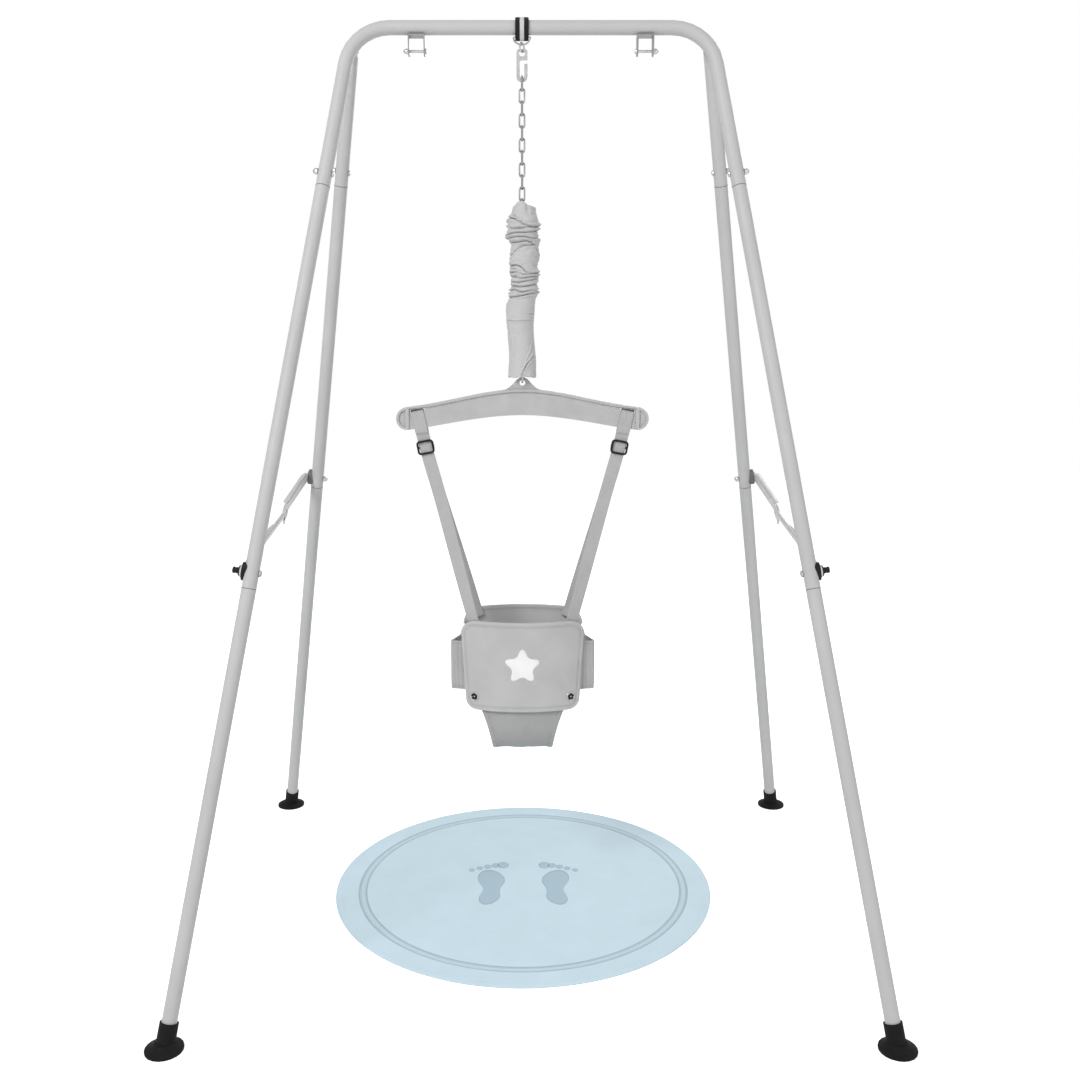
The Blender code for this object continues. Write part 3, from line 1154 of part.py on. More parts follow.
def hung_on(name, position, children, parent=None):
    """An empty on a joint's axis that carries the pieces and the empties which move with it."""
    empty = link(name, None, Matrix.Translation(position))
    bpy.context.view_layer.update()
    for child in children:
        piece = bpy.data.objects[child]
        piece.parent = empty
        piece.matrix_parent_inverse = empty.matrix_world.inverted()
    if parent:
        empty.parent = bpy.data.objects[parent]
        empty.matrix_parent_inverse = bpy.data.objects[parent].matrix_world.inverted()
    return empty


def joints():
    """What moves together, each group on an empty that stands on its joint's axis."""
    front, _, rear = brace_points()
    for side, name in ((LEFT, "left"), (RIGHT, "right")):
        mirror = Vector((side, 1, 1))
        leg = ["rear_stub", "rear_upper_leg", "rear_lower_leg", "rear_foot", "rear_stub_bolt", "rear_saddle",
               "rear_pivot_bolt"]
        fold = "rear_leg_fold_" + name
        hung_on(fold, hinge_pivot() * mirror, [part + "_" + name for part in leg])
        hung_on("front_brace_fold_" + name, front * mirror, ["front_brace_" + name])
        hung_on("rear_brace_fold_" + name, rear * mirror, ["rear_brace_" + name], fold)
    hung_on("strap_slide", (JUMPER_X, 0, BAR_HEIGHT), ["bar_strap"])
    hung_on("fore_and_aft_swing", (JUMPER_X, 0, D_RING_HEIGHT), ["d_ring"], "strap_slide")
    hung_on("hook_turn", (JUMPER_X, 0, D_RING_BOTTOM), ["round_ring", "hook_plate"], "fore_and_aft_swing")
    hung_on("side_swing", (JUMPER_X, 0, HOOK_SLOT_BOTTOM), ["chain"], "hook_turn")
    hung_on("spring_swing", (JUMPER_X, 0, SPRING_TOP + SPRING_HOOK_RADIUS), ["coil_spring", "spring_sleeve"],
            "side_swing")
    hung_on("bounce", (JUMPER_X, 0, COIL_BOTTOM), ["spring_lower_eye"], "spring_swing")
    hung_on("harness_swing", (JUMPER_X, 0, LOWER_EYE_BOTTOM), ["hanger_link"], "bounce")
    hung_on("hanger_tilt", (JUMPER_X, 0, HANGER_EYE_HEIGHT),
            ["hanger", "shoulder_strap_left", "shoulder_strap_right", "front_panel", "back_panel", "seat"],
            "harness_swing")
    for side, name in ((LEFT, "left"), (RIGHT, "right")):
        hung_on("buckle_slide_" + name, (JUMPER_X + side * BUCKLE_X, 0, BUCKLE_HEIGHT), ["slide_buckle_" + name],
                "hanger_tilt")


top_tube()
hinge_bracket()
hinge_pin()
rear_stub()
legs()
foot("front_foot", front_leg)
foot("rear_foot", rear_leg)
leg_bolts()
saddles()
braces()
brace_bolts()
swing_brackets()
bar_strap()
hang_rings()
hook_plate()
chain()
spring()
spring_lower_eye()
hanger_link()
sleeve()
hanger()
shoulder_straps()
for buckle_side in (LEFT, RIGHT):
    slide_buckle(buckle_side)
harness()
play_mat()
joints()
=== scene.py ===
"""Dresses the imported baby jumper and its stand: paint, steel, webbing, gathered and sewn cloth, the floor mat.

Metres, +Z up, -Y to the front. Greys and colours are written as 0 to 255.
"""
import math

import bmesh
import bpy
import numpy as np
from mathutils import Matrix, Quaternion, Vector, noise


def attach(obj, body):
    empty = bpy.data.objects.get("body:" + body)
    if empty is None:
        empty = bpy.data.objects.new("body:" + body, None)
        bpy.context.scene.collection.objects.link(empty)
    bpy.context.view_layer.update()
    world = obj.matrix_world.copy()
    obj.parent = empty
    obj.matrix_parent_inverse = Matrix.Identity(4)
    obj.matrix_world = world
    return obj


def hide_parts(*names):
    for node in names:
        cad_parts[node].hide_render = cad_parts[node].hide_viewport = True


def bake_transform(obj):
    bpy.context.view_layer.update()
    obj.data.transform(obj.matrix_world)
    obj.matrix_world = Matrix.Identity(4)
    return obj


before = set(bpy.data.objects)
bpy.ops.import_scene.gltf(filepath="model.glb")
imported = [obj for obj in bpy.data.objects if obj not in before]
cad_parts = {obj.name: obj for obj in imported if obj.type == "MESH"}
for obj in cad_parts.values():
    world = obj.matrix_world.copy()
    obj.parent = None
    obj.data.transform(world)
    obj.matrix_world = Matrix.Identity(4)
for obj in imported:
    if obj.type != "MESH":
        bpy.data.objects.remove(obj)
scene = bpy.context.scene
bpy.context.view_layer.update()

# Sizes shared with the CAD source
JUMPER_X = -0.016
BAR_HEIGHT, TUBE_RADIUS = 1.657, 0.0125
D_RING_HEIGHT, RING_WIRE_RADIUS = 1.641, 0.00175
CLEARANCE = 0.0003
WEBBING_WIDTH, BAR_WEBBING_THICKNESS, STRAP_THICKNESS = 0.024, 0.0034, 0.0018
BUCKLE_HEIGHT, BUCKLE_X = 0.9179, 0.1815
SLOT_HEIGHT, SLOT_X = 0.9859, 0.1965
PANEL_HALF_WIDTH, PANEL_TOP, PANEL_BOTTOM = 0.1165, 0.5979, 0.4249
PANEL_CORNER, PANEL_LOWER_CORNER, PANEL_TAPER = 0.030, 0.019, 0.010
PANEL_THICKNESS, SEAT_THICKNESS = 0.0045, 0.004
ELLIPSE_X, ELLIPSE_Y = 0.138, 0.078
BAND_HALF_WIDTH, BAND_THICKNESS = 0.1365, 0.003
BAND_TOP, BAND_BOTTOM = 0.5529, 0.4579
SEAT_TOP, SEAT_BOTTOM = 0.4699, 0.3369
STRAP_END_X = 0.093
SPRING_TOP, SPRING_WIRE_RADIUS, COIL_RADIUS, HOOK_RADIUS, COIL_TURNS = 1.3584, 0.00175, 0.014, 0.008, 17
SLEEVE_TOP, SLEEVE_BOTTOM = 1.3609, 1.0479
MAT_RADIUS, MAT_CENTRE_Y, MAT_THICKNESS = 0.385, 0.075, 0.004
CORNER_HALF_X, FOOT_HALF_X, FOOT_HALF_Y = 0.3155, 0.585, 0.481
HINGE_HEIGHT, HINGE_SETBACK = 1.620, 0.0289
FRONT_PIVOT_HEIGHT, REAR_PIVOT_HEIGHT = 0.733, 0.830
FRONT_SEAM_HEIGHTS, REAR_SEAM_HEIGHTS = (0.707, 1.377), (0.812, 1.401)
BRACE_HINGE_SHARE, BRACE_HINGE_DROP = 0.395, 0.006
BRACE_HEIGHT, BRACE_THICKNESS, SLIDING_GAP, SADDLE_THICKNESS = 0.019, 0.0024, 0.0005, 0.0035

# Sewing, as distances from the cloth's edge, and what sits on the front panel
PANEL_SEAMS, WING_SEAM, SEAT_SEAM = (0.0074, 0.0100), 0.005, 0.0098
SNAP_X, SNAP_HEIGHT = 0.0900, 0.4510
STAR_RADIUS, STAR_HEIGHT = 0.0262, 0.5140
SIDES = ((-1, "left"), (1, "right"))


def linear(*values):
    """A colour or a single grey as a shader takes it."""
    values = values * 3 if len(values) == 1 else values
    return tuple(((v / 255 + 0.055) / 1.055) ** 2.4 for v in values)


def add_node(tree, kind, inputs, **settings):
    """Adds a shader node; each input is a value or the socket that feeds it."""
    made = tree.nodes.new("ShaderNode" + kind)
    for key, value in settings.items():
        setattr(made, key, value)
    for key, value in inputs.items():
        if isinstance(value, bpy.types.NodeSocket):
            tree.links.new(value, made.inputs[key])
        else:
            made.inputs[key].default_value = value
    return made


class Finish:
    """A Principled material and short calls for the nodes that feed it."""

    def __init__(self, name, colour, roughness, metallic=0.0, specular=0.5):
        self.material = bpy.data.materials.new(name)
        self.material.use_nodes = True
        self.tree = self.material.node_tree
        self.inputs = self.tree.nodes["Principled BSDF"].inputs
        self.colour, self.roughness, self.normal = colour, roughness, None
        for key, value in (("Base Color", (*colour, 1)), ("Roughness", roughness), ("Metallic", metallic),
                           ("Specular IOR Level", specular)):
            self.inputs[key].default_value = value

    def node(self, kind, inputs, output=0, **settings):
        return add_node(self.tree, kind, inputs, **settings).outputs[output]

    def math(self, operation, a, b=0.0):
        return self.node("Math", {0: a, 1: b}, operation=operation)

    def wave(self, way, pitch):
        return self.math('SINE', self.math('MULTIPLY', way, math.tau / pitch))

    def about_half(self, height, amount):
        return self.math('ADD', self.math('MULTIPLY', height, amount), 0.5)

    def place(self):
        return self.node("TexCoord", {}, "Object")

    def weave(self):
        """Distances across and along the cloth, in metres, and how much painted shade it gets in a seam, fold or slot.
        """
        place = self.node("Attribute", {}, "Vector", attribute_name="weave")
        return place, add_node(self.tree, "SeparateXYZ", {"Vector": place}).outputs

    def speckle(self, scale, detail=3.0, place=None, roughness=0.5):
        return self.node("TexNoise", {"Vector": place or self.place(), "Scale": scale, "Detail": detail,
                                      "Roughness": roughness}, "Fac")

    def between(self, factor, low, high, start=0.3, end=0.7):
        return self.node("MapRange", {"Value": factor, "From Min": start, "From Max": end, "To Min": low,
                                      "To Max": high}, "Result")

    def mixed(self, factor, a, b):
        a, b = (value if isinstance(value, bpy.types.NodeSocket) else (*value, 1) for value in (a, b))
        return self.node("Mix", {0: factor, 6: a, 7: b}, 2, data_type='RGBA')

    def darker(self, share):
        return tuple(c * share for c in self.colour)

    def shade(self, amount, factor, base=None):
        """The colour a little darker and a little lighter by a factor from 0 to 1."""
        if base is None:
            return self.mixed(factor, self.darker(1 - amount), self.darker(1 + amount))
        grey = self.between(factor, 1 - amount, 1 + amount)
        return self.node("VectorMath", {0: base, 1: self.node("CombineXYZ", {0: grey, 1: grey, 2: grey})},
                         operation='MULTIPLY')

    def clouds(self, amount, scale, detail=4):
        """The colour in soft darker and lighter patches."""
        return self.shade(amount, self.between(self.speckle(scale, detail), 0, 1))

    def base(self, socket):
        self.tree.links.new(socket, self.inputs["Base Color"])

    def rough(self, less, more, factor):
        varied = self.between(factor, self.roughness - less, self.roughness + more)
        self.tree.links.new(varied, self.inputs["Roughness"])

    def sheen(self, weight):
        self.inputs["Sheen Weight"].default_value = weight

    def bump(self, height, distance, strength):
        inputs = {"Height": height, "Distance": distance, "Strength": strength}
        if self.normal:
            inputs["Normal"] = self.normal
        self.normal = self.node("Bump", inputs, "Normal")
        self.tree.links.new(self.normal, self.inputs["Normal"])


def painted(name, grey, roughness=0.5):
    """Powder coat: orange peel, a faint drift of tone and small scuffs."""
    made = Finish(name, linear(grey), roughness, specular=0.3)
    scuffs = made.between(made.speckle(130, 6, roughness=0.75), 0, 0.35, 0.70, 0.76)
    made.base(made.mixed(scuffs, made.clouds(0.03, 9, 2), made.darker(0.72)))
    made.rough(0.06, 0.08, made.speckle(40))
    made.bump(made.speckle(1400, 1), 0.00006, 0.5)
    return made.material


def metal(name, grey, roughness):
    """Plated steel: fine scratches, clouded gloss and darker grime in patches."""
    made = Finish(name, linear(grey), roughness, 1.0)
    made.base(made.clouds(0.12, 90))
    made.rough(0.08, 0.12, made.speckle(260, 4))
    scratches = made.node("Mapping", {"Vector": made.place(), "Scale": (2600, 2600, 240)})
    made.bump(made.speckle(1, 2, scratches), 0.00002, 0.5)
    return made.material


def moulded(name, grey, roughness, grain=0.00005, scale=1800, gloss=0.35):
    """Moulded plastic or rubber with a spark-eroded grain and a little dust."""
    made = Finish(name, linear(grey), roughness, specular=gloss)
    made.base(made.clouds(0.06, 30))
    made.rough(0.07, 0.08, made.speckle(120))
    made.bump(made.speckle(scale, 2), grain, 0.7)
    return made.material


def woven(name, grey, pitch, depth, roughness=0.92, sheen=0.12, drift=0.05):
    """A plain weave with slubs, sheen and a slow drift of tone, with painted shade, darker where it lies in seams and
    folds.
    """
    made = Finish(name, linear(grey), roughness, specular=0.25)
    place, (across, along, painted_shade) = made.weave()
    threads = made.math('MULTIPLY', made.wave(across, pitch), made.wave(along, pitch))
    slubs = made.speckle(0.5 / pitch, place=place)
    # Painted shade: by the weave attribute's third value, the tone darkens towards 45 per cent of the cloth's colour in
    # seams and folds.
    tone = made.mixed(painted_shade, made.clouds(drift, 22), made.darker(0.45))
    made.base(made.shade(0.04, slubs, made.shade(0.05, made.about_half(threads, 0.1), tone)))
    made.sheen(sheen)
    made.bump(made.math('ADD', threads, made.math('MULTIPLY', slubs, 1.4)), depth, 0.6)
    return made.material


def ribbed(name, grey, stripe=None):
    """Webbing: lengthwise ribs crossed by a fine chevron, with a middle stripe of a half width and a grey, and painted
    shade, near black, by the weave attribute's third value.
    """
    made = Finish(name, linear(grey), 0.8, specular=0.3)
    _, (across, along, painted_shade) = made.weave()
    from_middle = made.math('ABSOLUTE', across)
    lean = made.math('ADD', along, made.math('MULTIPLY', from_middle, 0.5))
    height = made.math('ADD', made.math('MULTIPLY', made.wave(across, 0.0021), 0.6),
                       made.math('MULTIPLY', made.wave(lean, 0.0011), 0.5))
    tone = made.clouds(0.04, 35)
    if stripe:
        tone = made.mixed(made.math('LESS_THAN', from_middle, stripe[0]), tone, linear(stripe[1]))
    # Painted shade: the tone goes near black by the weave attribute's third value.
    tone = made.mixed(painted_shade, tone, made.darker(0.1))
    made.base(made.shade(0.06, made.about_half(height, 0.12), tone))
    made.sheen(0.04)
    made.bump(height, 0.00016, 0.7)
    return made.material


PAINT = painted("frame_powder_coat", 186)
BRACE_PAINT = painted("brace_coat", 196, 0.44)
ZINC = metal("zinc_plate", 178, 0.30)
DARK_STEEL = metal("bracket_plate", 140, 0.42)
CHAIN_STEEL = metal("chain_plate", 146, 0.26)
HOOK_STEEL = metal("hook_plate_steel", 168, 0.42)
RUBBER = moulded("foot_rubber_black", 25, 0.78, 0.00010, 1100, 0.12)
SADDLE_PLASTIC = moulded("grey_spacer", 112, 0.6, gloss=0.18)
BLACK_PLASTIC = moulded("black_moulding", 22, 0.5, gloss=0.18)
GREY_PLASTIC = moulded("hanger_moulding", 178, 0.5, 0.00004)
PANEL_CLOTH = woven("panel_cloth", 186, 0.0008, 0.00009)
# The wings' cloth is the panel's cloth painted darker, as painted shade for wings that sit back behind the panels.
WING_SHADED_CLOTH = woven("wing_cloth_painted_shade", 174, 0.0008, 0.00009)
SEAT_CLOTH = woven("seat_cloth", 164, 0.0008, 0.00009)
SLEEVE_CLOTH = woven("sleeve_cloth", 191, 0.0007, 0.00006, 0.85, 0.1, 0.03)
GREY_WEBBING = ribbed("strap_webbing", 176)
BLACK_WEBBING = ribbed("bar_webbing", 14, (0.0037, 200))
THREAD = woven("sewing_thread", 201, 0.0004, 0.00003, 0.6)
PRINT = moulded("white_print", 233, 0.5, 0.00004, 900)
SEAM_SHADOW = moulded("leg_joint_shadow", 118, 0.7)


def shading_group():
    """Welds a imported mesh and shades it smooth, except over edges sharper than 35 degrees."""
    group = bpy.data.node_groups.new("round_shading", 'GeometryNodeTree')
    for way in ('INPUT', 'OUTPUT'):
        group.interface.new_socket("Geometry", in_out=way, socket_type='NodeSocketGeometry')
    chain = [group.nodes.new(kind) for kind in (
        'NodeGroupInput', 'GeometryNodeMergeByDistance', 'GeometryNodeRemoveAttribute', 'GeometryNodeSetShadeSmooth',
        'GeometryNodeSetShadeSmooth', 'NodeGroupOutput')]
    _, weld, forget, _, sharp_edges, _ = chain
    weld.inputs["Distance"].default_value = 0.000004
    forget.inputs["Name"].default_value = "custom_normal"
    sharp_edges.domain = 'EDGE'
    sharp_edges.inputs["Shade Smooth"].default_value = False
    angle = group.nodes.new('GeometryNodeInputMeshEdgeAngle')
    sharp = group.nodes.new('FunctionNodeCompare')
    sharp.operation = 'GREATER_THAN'
    sharp.inputs[1].default_value = math.radians(35)
    group.links.new(angle.outputs[0], sharp.inputs[0])
    group.links.new(sharp.outputs[0], sharp_edges.inputs["Selection"])
    for a, b in zip(chain, chain[1:]):
        group.links.new(a.outputs[0], b.inputs[0])
    return group


ROUND_SHADING = shading_group()


def dress(names, finish, bevel=0.0):
    """Gives rigid CAD nodes their finish, smooth shading and, where wanted, softly broken edges."""
    for name in names:
        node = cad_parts[name]
        node.data.materials.clear()
        node.data.materials.append(finish)
        node.modifiers.new("round_shading", 'NODES').node_group = ROUND_SHADING
        if bevel:
            edge = node.modifiers.new("edge", 'BEVEL')
            edge.width, edge.segments = bevel, 2
            edge.limit_method, edge.angle_limit = 'ANGLE', math.radians(40)


def both(*names):
    return [name + side for name in names for side in ("_left", "_right")]


dress(["top_tube"] + both("hinge_bracket", "front_upper_leg", "front_lower_leg", "rear_stub", "rear_upper_leg",
                          "rear_lower_leg"), PAINT)
dress(both("swing_bracket"), DARK_STEEL, 0.0005)
dress(both("front_brace", "rear_brace"), BRACE_PAINT, 0.0004)
dress(both("hinge_pin", "front_stub_bolt", "rear_stub_bolt", "front_pivot_bolt", "rear_pivot_bolt",
           "swing_bracket_bolt") + ["d_ring", "round_ring", "spring_lower_eye", "hanger_link"], ZINC)
dress(["hook_plate"], HOOK_STEEL, 0.0005)
dress(["chain"], CHAIN_STEEL)
dress(both("front_foot", "rear_foot"), RUBBER, 0.0008)
dress(both("front_saddle"), BLACK_PLASTIC, 0.0004)
dress(both("rear_saddle"), SADDLE_PLASTIC, 0.0004)
dress(both("pivot_knob", "slide_buckle"), BLACK_PLASTIC, 0.0005)
dress(["hanger"], GREY_PLASTIC, 0.0007)


def unit(vectors):
    return vectors / np.linalg.norm(vectors, axis=-1, keepdims=True)


def circle(count):
    return np.linspace(0, math.tau, count, endpoint=False)


def circle_places(radius, count):
    """Two coordinates of places round a circle."""
    return radius * np.cos(circle(count)), radius * np.sin(circle(count))


def bell(distance, width):
    """1 in the middle, falling to 0 a few widths away."""
    return np.exp(-(distance / width) ** 2)


def ramp(distance, length):
    """From 0 up to 1 over a length."""
    return np.clip(distance / length, 0, 1)


def run_lengths(path):
    """How far along a path each of its points lies."""
    return np.concatenate([[0], np.cumsum(np.linalg.norm(np.diff(path, axis=0), axis=1))])


def at_lengths(stations, path):
    """The points that lie at some lengths along a path."""
    lengths = run_lengths(path)
    return np.stack([np.interp(stations, lengths, values) for values in path.T], 1)


def swept(centres, first, second, u, v):
    """Rings of points, u along the first and v along the second direction from each centre."""
    u, v = np.asarray(u)[..., None], np.asarray(v)[..., None]
    return centres[..., None, :] + u * first[..., None, :] + v * second[..., None, :]


def quads(grid, flip=False):
    """The faces of a grid of point numbers."""
    corners = np.stack([grid[:-1, :-1], grid[:-1, 1:], grid[1:, 1:], grid[1:, :-1]], -1).reshape(-1, 4)
    return (corners[:, [0, 3, 2, 1]] if flip else corners).tolist()


def ring_faces(rings, sides, base=0, closed=False, flip=False, capped=False):
    """Faces between rings of points, the last joined to the first if closed, both capped if capped."""
    grid = base + np.arange(rings * sides).reshape(rings, sides)
    caps = [grid[0, ::-1].tolist(), grid[-1].tolist()] if capped else []
    return quads(np.pad(grid, ((0, int(closed)), (0, 1)), 'wrap'), flip) + caps


def disc_faces(rings, sides):
    """Faces of rings round a first point."""
    fan = [(0, 1 + k, 1 + (k + 1) % sides) for k in range(sides)]
    return fan + ring_faces(rings, sides, 1, flip=True)


def mesh_piece(name, points, faces, finish, body, weave=None):
    """A smooth mesh that moves with a body.

    weave holds each point's distances across and along the cloth, and how much painted shade it gets in a seam, fold or
    slot.
    """
    points = np.reshape(points, (-1, 3))
    data = bpy.data.meshes.new(name)
    data.from_pydata(points.tolist(), [], faces)
    data.materials.append(finish)
    data.shade_smooth()
    if weave is not None:
        weave = np.reshape(weave, (len(points), -1))
        kept = np.zeros((len(points), 3), np.float32)
        kept[:, :weave.shape[1]] = weave
        data.attributes.new("weave", 'FLOAT_VECTOR', 'POINT').data.foreach_set("vector", kept.ravel())
    made = bpy.data.objects.new(name, data)
    scene.collection.objects.link(made)
    if body:
        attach(made, body)
    return made


def shell(name, middle, out, half, finish, weave, flip=False):
    """A closed cloth shell on the harness over a grid of middle points; its faces share its border points."""
    if flip:
        middle, out, half, weave = (grid[:, ::-1] for grid in (middle, out, half, weave))
    inside = np.zeros(half.shape, bool)
    inside[1:-1, 1:-1] = True
    offset = out * np.where(inside, half, 0)[..., None]
    first = np.arange(inside.size).reshape(inside.shape)
    second = first.copy()
    second[inside] = inside.size + np.arange(inside.sum())
    points = np.concatenate([(middle + offset).reshape(-1, 3), (middle - offset)[inside]])
    weave = np.concatenate([weave.reshape(-1, 3), weave[inside]])
    return mesh_piece(name, points, quads(first) + quads(second, True), finish, "harness", weave)


def bumps(places, scale, seed, detail=2):
    """Smooth noise from -1 to 1 at each place."""
    shift = Vector((seed * 7.3, seed * 3.1, seed * 5.7))
    flat = places.reshape(-1, places.shape[-1])
    got = [noise.fractal(Vector((*p, 0, 0)[:3]) * scale + shift, 1.0, 2.0, detail) for p in flat]
    return np.array(got).reshape(places.shape[:-1])


def eased_edges(count, edge, length, hem=0.0, pitch=0.0009):
    """Shares from 0 to 1, close together within one edge width of both ends and a pitch apart over the hem."""
    near = edge * (1 - np.cos(np.linspace(0, math.pi / 2, 6)))
    near = np.concatenate([near, np.arange(edge, hem, pitch)[1:]]) / length
    return np.concatenate([near, np.linspace(near[-1], 1 - near[-1], count)[1:-1], 1 - near[::-1]])


def seam_painted_shade(distance, seams, width=0.0009, most=0.4):
    """Painted shade along the seams: how dark the cloth is painted by its distance from its seams."""
    return sum(most * bell(distance - seam, width) for seam in seams)


def edge_distance(places, outline):
    """How far each place lies from a closed outline."""
    flat = places.reshape(-1, 2)
    best = np.full(len(flat), np.inf)
    for p, q in zip(outline, np.roll(outline, -1, axis=0)):
        line = q - p
        share = np.clip(((flat - p) @ line) / max(line @ line, 1e-12), 0, 1)
        best = np.minimum(best, np.linalg.norm(flat - p - share[:, None] * line, axis=1))
    return best.reshape(places.shape[:-1])


def hem_profile(distance, hem, seams, body, edge_radius=0.0018, puff=0.0008):
    """Half the thickness of sewn cloth by its distance from the edge: the hem's, then the body's with its filling."""
    past_seam, fall, swell, dent = distance - seams[-1], 0.004, 0.012, 0.0010
    past = ramp(past_seam, fall)
    half = hem * (1 - past) + body * past + puff * (1 - np.exp(-np.clip(past_seam, 0, 1) / swell))
    for seam in seams:
        half = half - dent * bell(distance - seam, dent)
    return half * np.sqrt(1 - (1 - ramp(distance, edge_radius)) ** 2)


def panel_half_width(height):
    """The panels' outline: round corners, and sides that draw in a little downward."""
    from_top, above = PANEL_TOP - height, height - PANEL_BOTTOM
    if from_top < PANEL_CORNER:
        edge, radius, lack = PANEL_HALF_WIDTH, PANEL_CORNER, PANEL_CORNER - from_top
    else:
        edge = PANEL_HALF_WIDTH - PANEL_TAPER * (1 - above / (PANEL_TOP - PANEL_BOTTOM))
        radius, lack = PANEL_LOWER_CORNER, max(0.0, PANEL_LOWER_CORNER - above)
    return edge - radius + math.sqrt(max(0.0, radius ** 2 - lack ** 2))


def panel_depth(x):
    """How far from the middle, front or back, the panels stand at x."""
    return ELLIPSE_Y * np.sqrt(1 - (x / ELLIPSE_X) ** 2)


TABLE_X = np.linspace(-0.1375, 0.1375, 1101)
TABLE_ARC = run_lengths(np.stack([TABLE_X, panel_depth(TABLE_X)], 1))
TABLE_ARC -= TABLE_ARC[len(TABLE_ARC) // 2]


def arc_length(x):
    return np.interp(x, TABLE_X, TABLE_ARC)


def panel_outline():
    """The panel's edge in arc length and height, closed."""
    heights = np.unique(np.concatenate([
        PANEL_TOP - PANEL_CORNER * (1 - np.cos(np.linspace(0, math.pi / 2, 16))),
        PANEL_BOTTOM + PANEL_LOWER_CORNER * (1 - np.cos(np.linspace(0, math.pi / 2, 12))),
        np.arange(PANEL_BOTTOM + PANEL_LOWER_CORNER, PANEL_TOP - PANEL_CORNER, 0.002)]))
    right = np.stack([arc_length(np.array([panel_half_width(h) for h in heights])), heights], 1)
    return np.concatenate([right, right[::-1] * (-1, 1)])


PANEL_EDGE = panel_outline()


class Panel:
    """The front (-1) or back (1) panel as a curved, hemmed and softly creased surface."""

    def __init__(self, face, seed):
        self.face, self.seed = face, seed

    def crease(self, places):
        """How far the cloth stands off its plain curve: soft waves, and pulls that run in from the lower corners."""
        lift = bumps(places, 14, self.seed) * 0.0009
        for side in (-1, 1):
            dx, dz = places[..., 0] * side - 0.088, places[..., 1] - 0.455
            along, across = dx * -0.72 + dz * 0.69, dx * 0.69 + dz * 0.72
            for height, offset, width, centre, length in ((0.0006, 0, 0.006, 0.03, 0.03),
                                                          (-0.0005, 0.011, 0.005, 0.025, 0.025)):
                lift += height * bell(across - offset, width) * bell(along - centre, length)
        return lift

    def cloth(self, x, z):
        """The cloth at x and z: its places laid flat, its middle surface, the way outward and half its thickness."""
        places = np.stack([arc_length(x), z], -1)
        y = panel_depth(x)
        out = unit(np.stack([x / ELLIPSE_X ** 2, self.face * y / ELLIPSE_Y ** 2, 0 * x], -1))
        middle = np.stack([JUMPER_X + x, self.face * y, z], -1) + out * self.crease(places)[..., None]
        return places, middle, out, hem_profile(edge_distance(places, PANEL_EDGE), 0.0025, PANEL_SEAMS, 0.0015)

    def surface(self, x, z, lift=0.0):
        """Points on the outer face at x and z, raised by lift, with the outward direction."""
        _, middle, out, half = self.cloth(x, z)
        return middle + out * (half + lift)[..., None], out

    def build(self, name):
        rows = eased_edges(52, 0.004, PANEL_TOP - PANEL_BOTTOM, 0.016)
        columns = eased_edges(70, 0.004, 2 * PANEL_HALF_WIDTH, 0.016)
        heights = PANEL_BOTTOM + (PANEL_TOP - PANEL_BOTTOM) * rows
        x = np.outer([panel_half_width(h) for h in heights], 2 * columns - 1)
        places, middle, out, half = self.cloth(x, heights[:, None] + 0 * x)
        # Painted shade along the panel's two seam lines.
        shade = seam_painted_shade(edge_distance(places, PANEL_EDGE), PANEL_SEAMS)
        weave = np.concatenate([places, shade[..., None]], -1)
        return shell(name, middle, out, half, PANEL_CLOTH, weave, self.face > 0)


def inset_line(outline, distance, pitch):
    """Places along a closed outline moved inward, a fixed pitch apart."""
    along = unit(np.roll(outline, -1, axis=0) - np.roll(outline, 1, axis=0))
    moved = outline + np.stack([-along[:, 1], along[:, 0]], 1) * distance
    moved = moved[edge_distance(moved, outline) > distance * 0.93]
    closed = np.concatenate([moved, moved[:1]])
    return at_lengths(np.arange(0, run_lengths(closed)[-1], pitch), closed)


def stitches(name, starts, ends, outs):
    """Short rounded stitches of thread on the harness, from start to end, half sunk in the cloth."""
    radius, sides = 0.00042, 6
    share, girth, lift = np.array(((0.0, 0.25, -0.6), (0.14, 0.85, 0.0), (0.5, 1.0, 0.35), (0.86, 0.85, 0.0),
                                   (1.0, 0.25, -0.6))).T[..., None]
    points, faces = [], []
    for k, (start, end, out) in enumerate(zip(starts, ends, outs)):
        line = end - start
        points.append(swept(start + line * share + out * radius * lift, unit(np.cross(line, out)), out,
                            *circle_places(radius * girth, sides)))
        faces += ring_faces(len(share), sides, k * len(share) * sides, capped=True)
    round_thread, along_thread = np.meshgrid(np.arange(sides) * radius, share[:, 0] * 0.003)
    weave = np.tile(np.stack([round_thread, along_thread], -1), (len(points), 1, 1))
    return mesh_piece(name, np.array(points), faces, THREAD, "harness", weave)


def panel_stitches(panel, name):
    pitch, length = 0.0042, 0.0031
    lines = [inset_line(PANEL_EDGE, seam, pitch) for seam in PANEL_SEAMS]
    starts = np.concatenate(lines)
    ends = starts + length * np.concatenate([unit(np.roll(line, -1, axis=0) - line) for line in lines])
    (starts, outs), (ends, _) = (panel.surface(np.interp(spots[:, 0], TABLE_ARC, TABLE_X), spots[:, 1])
                                 for spots in (starts, ends))
    return stitches(name, starts, ends, outs)


FRONT, BACK = Panel(-1, 1), Panel(1, 2)
front_panel = FRONT.build("front_panel_cloth")
back_panel = BACK.build("back_panel_cloth")
front_seams = panel_stitches(FRONT, "front_panel_stitches")
back_seams = panel_stitches(BACK, "back_panel_stitches")


def bezier(*controls):
    """Points along a cubic curve, without its last one."""
    share = np.linspace(0, 1, 24, endpoint=False)[:, None]
    p0, p1, p2, p3 = (np.array(p) for p in controls)
    return ((1 - share) ** 3 * p0 + 3 * (1 - share) ** 2 * share * p1 + 3 * (1 - share) * share ** 2 * p2
            + share ** 3 * p3)


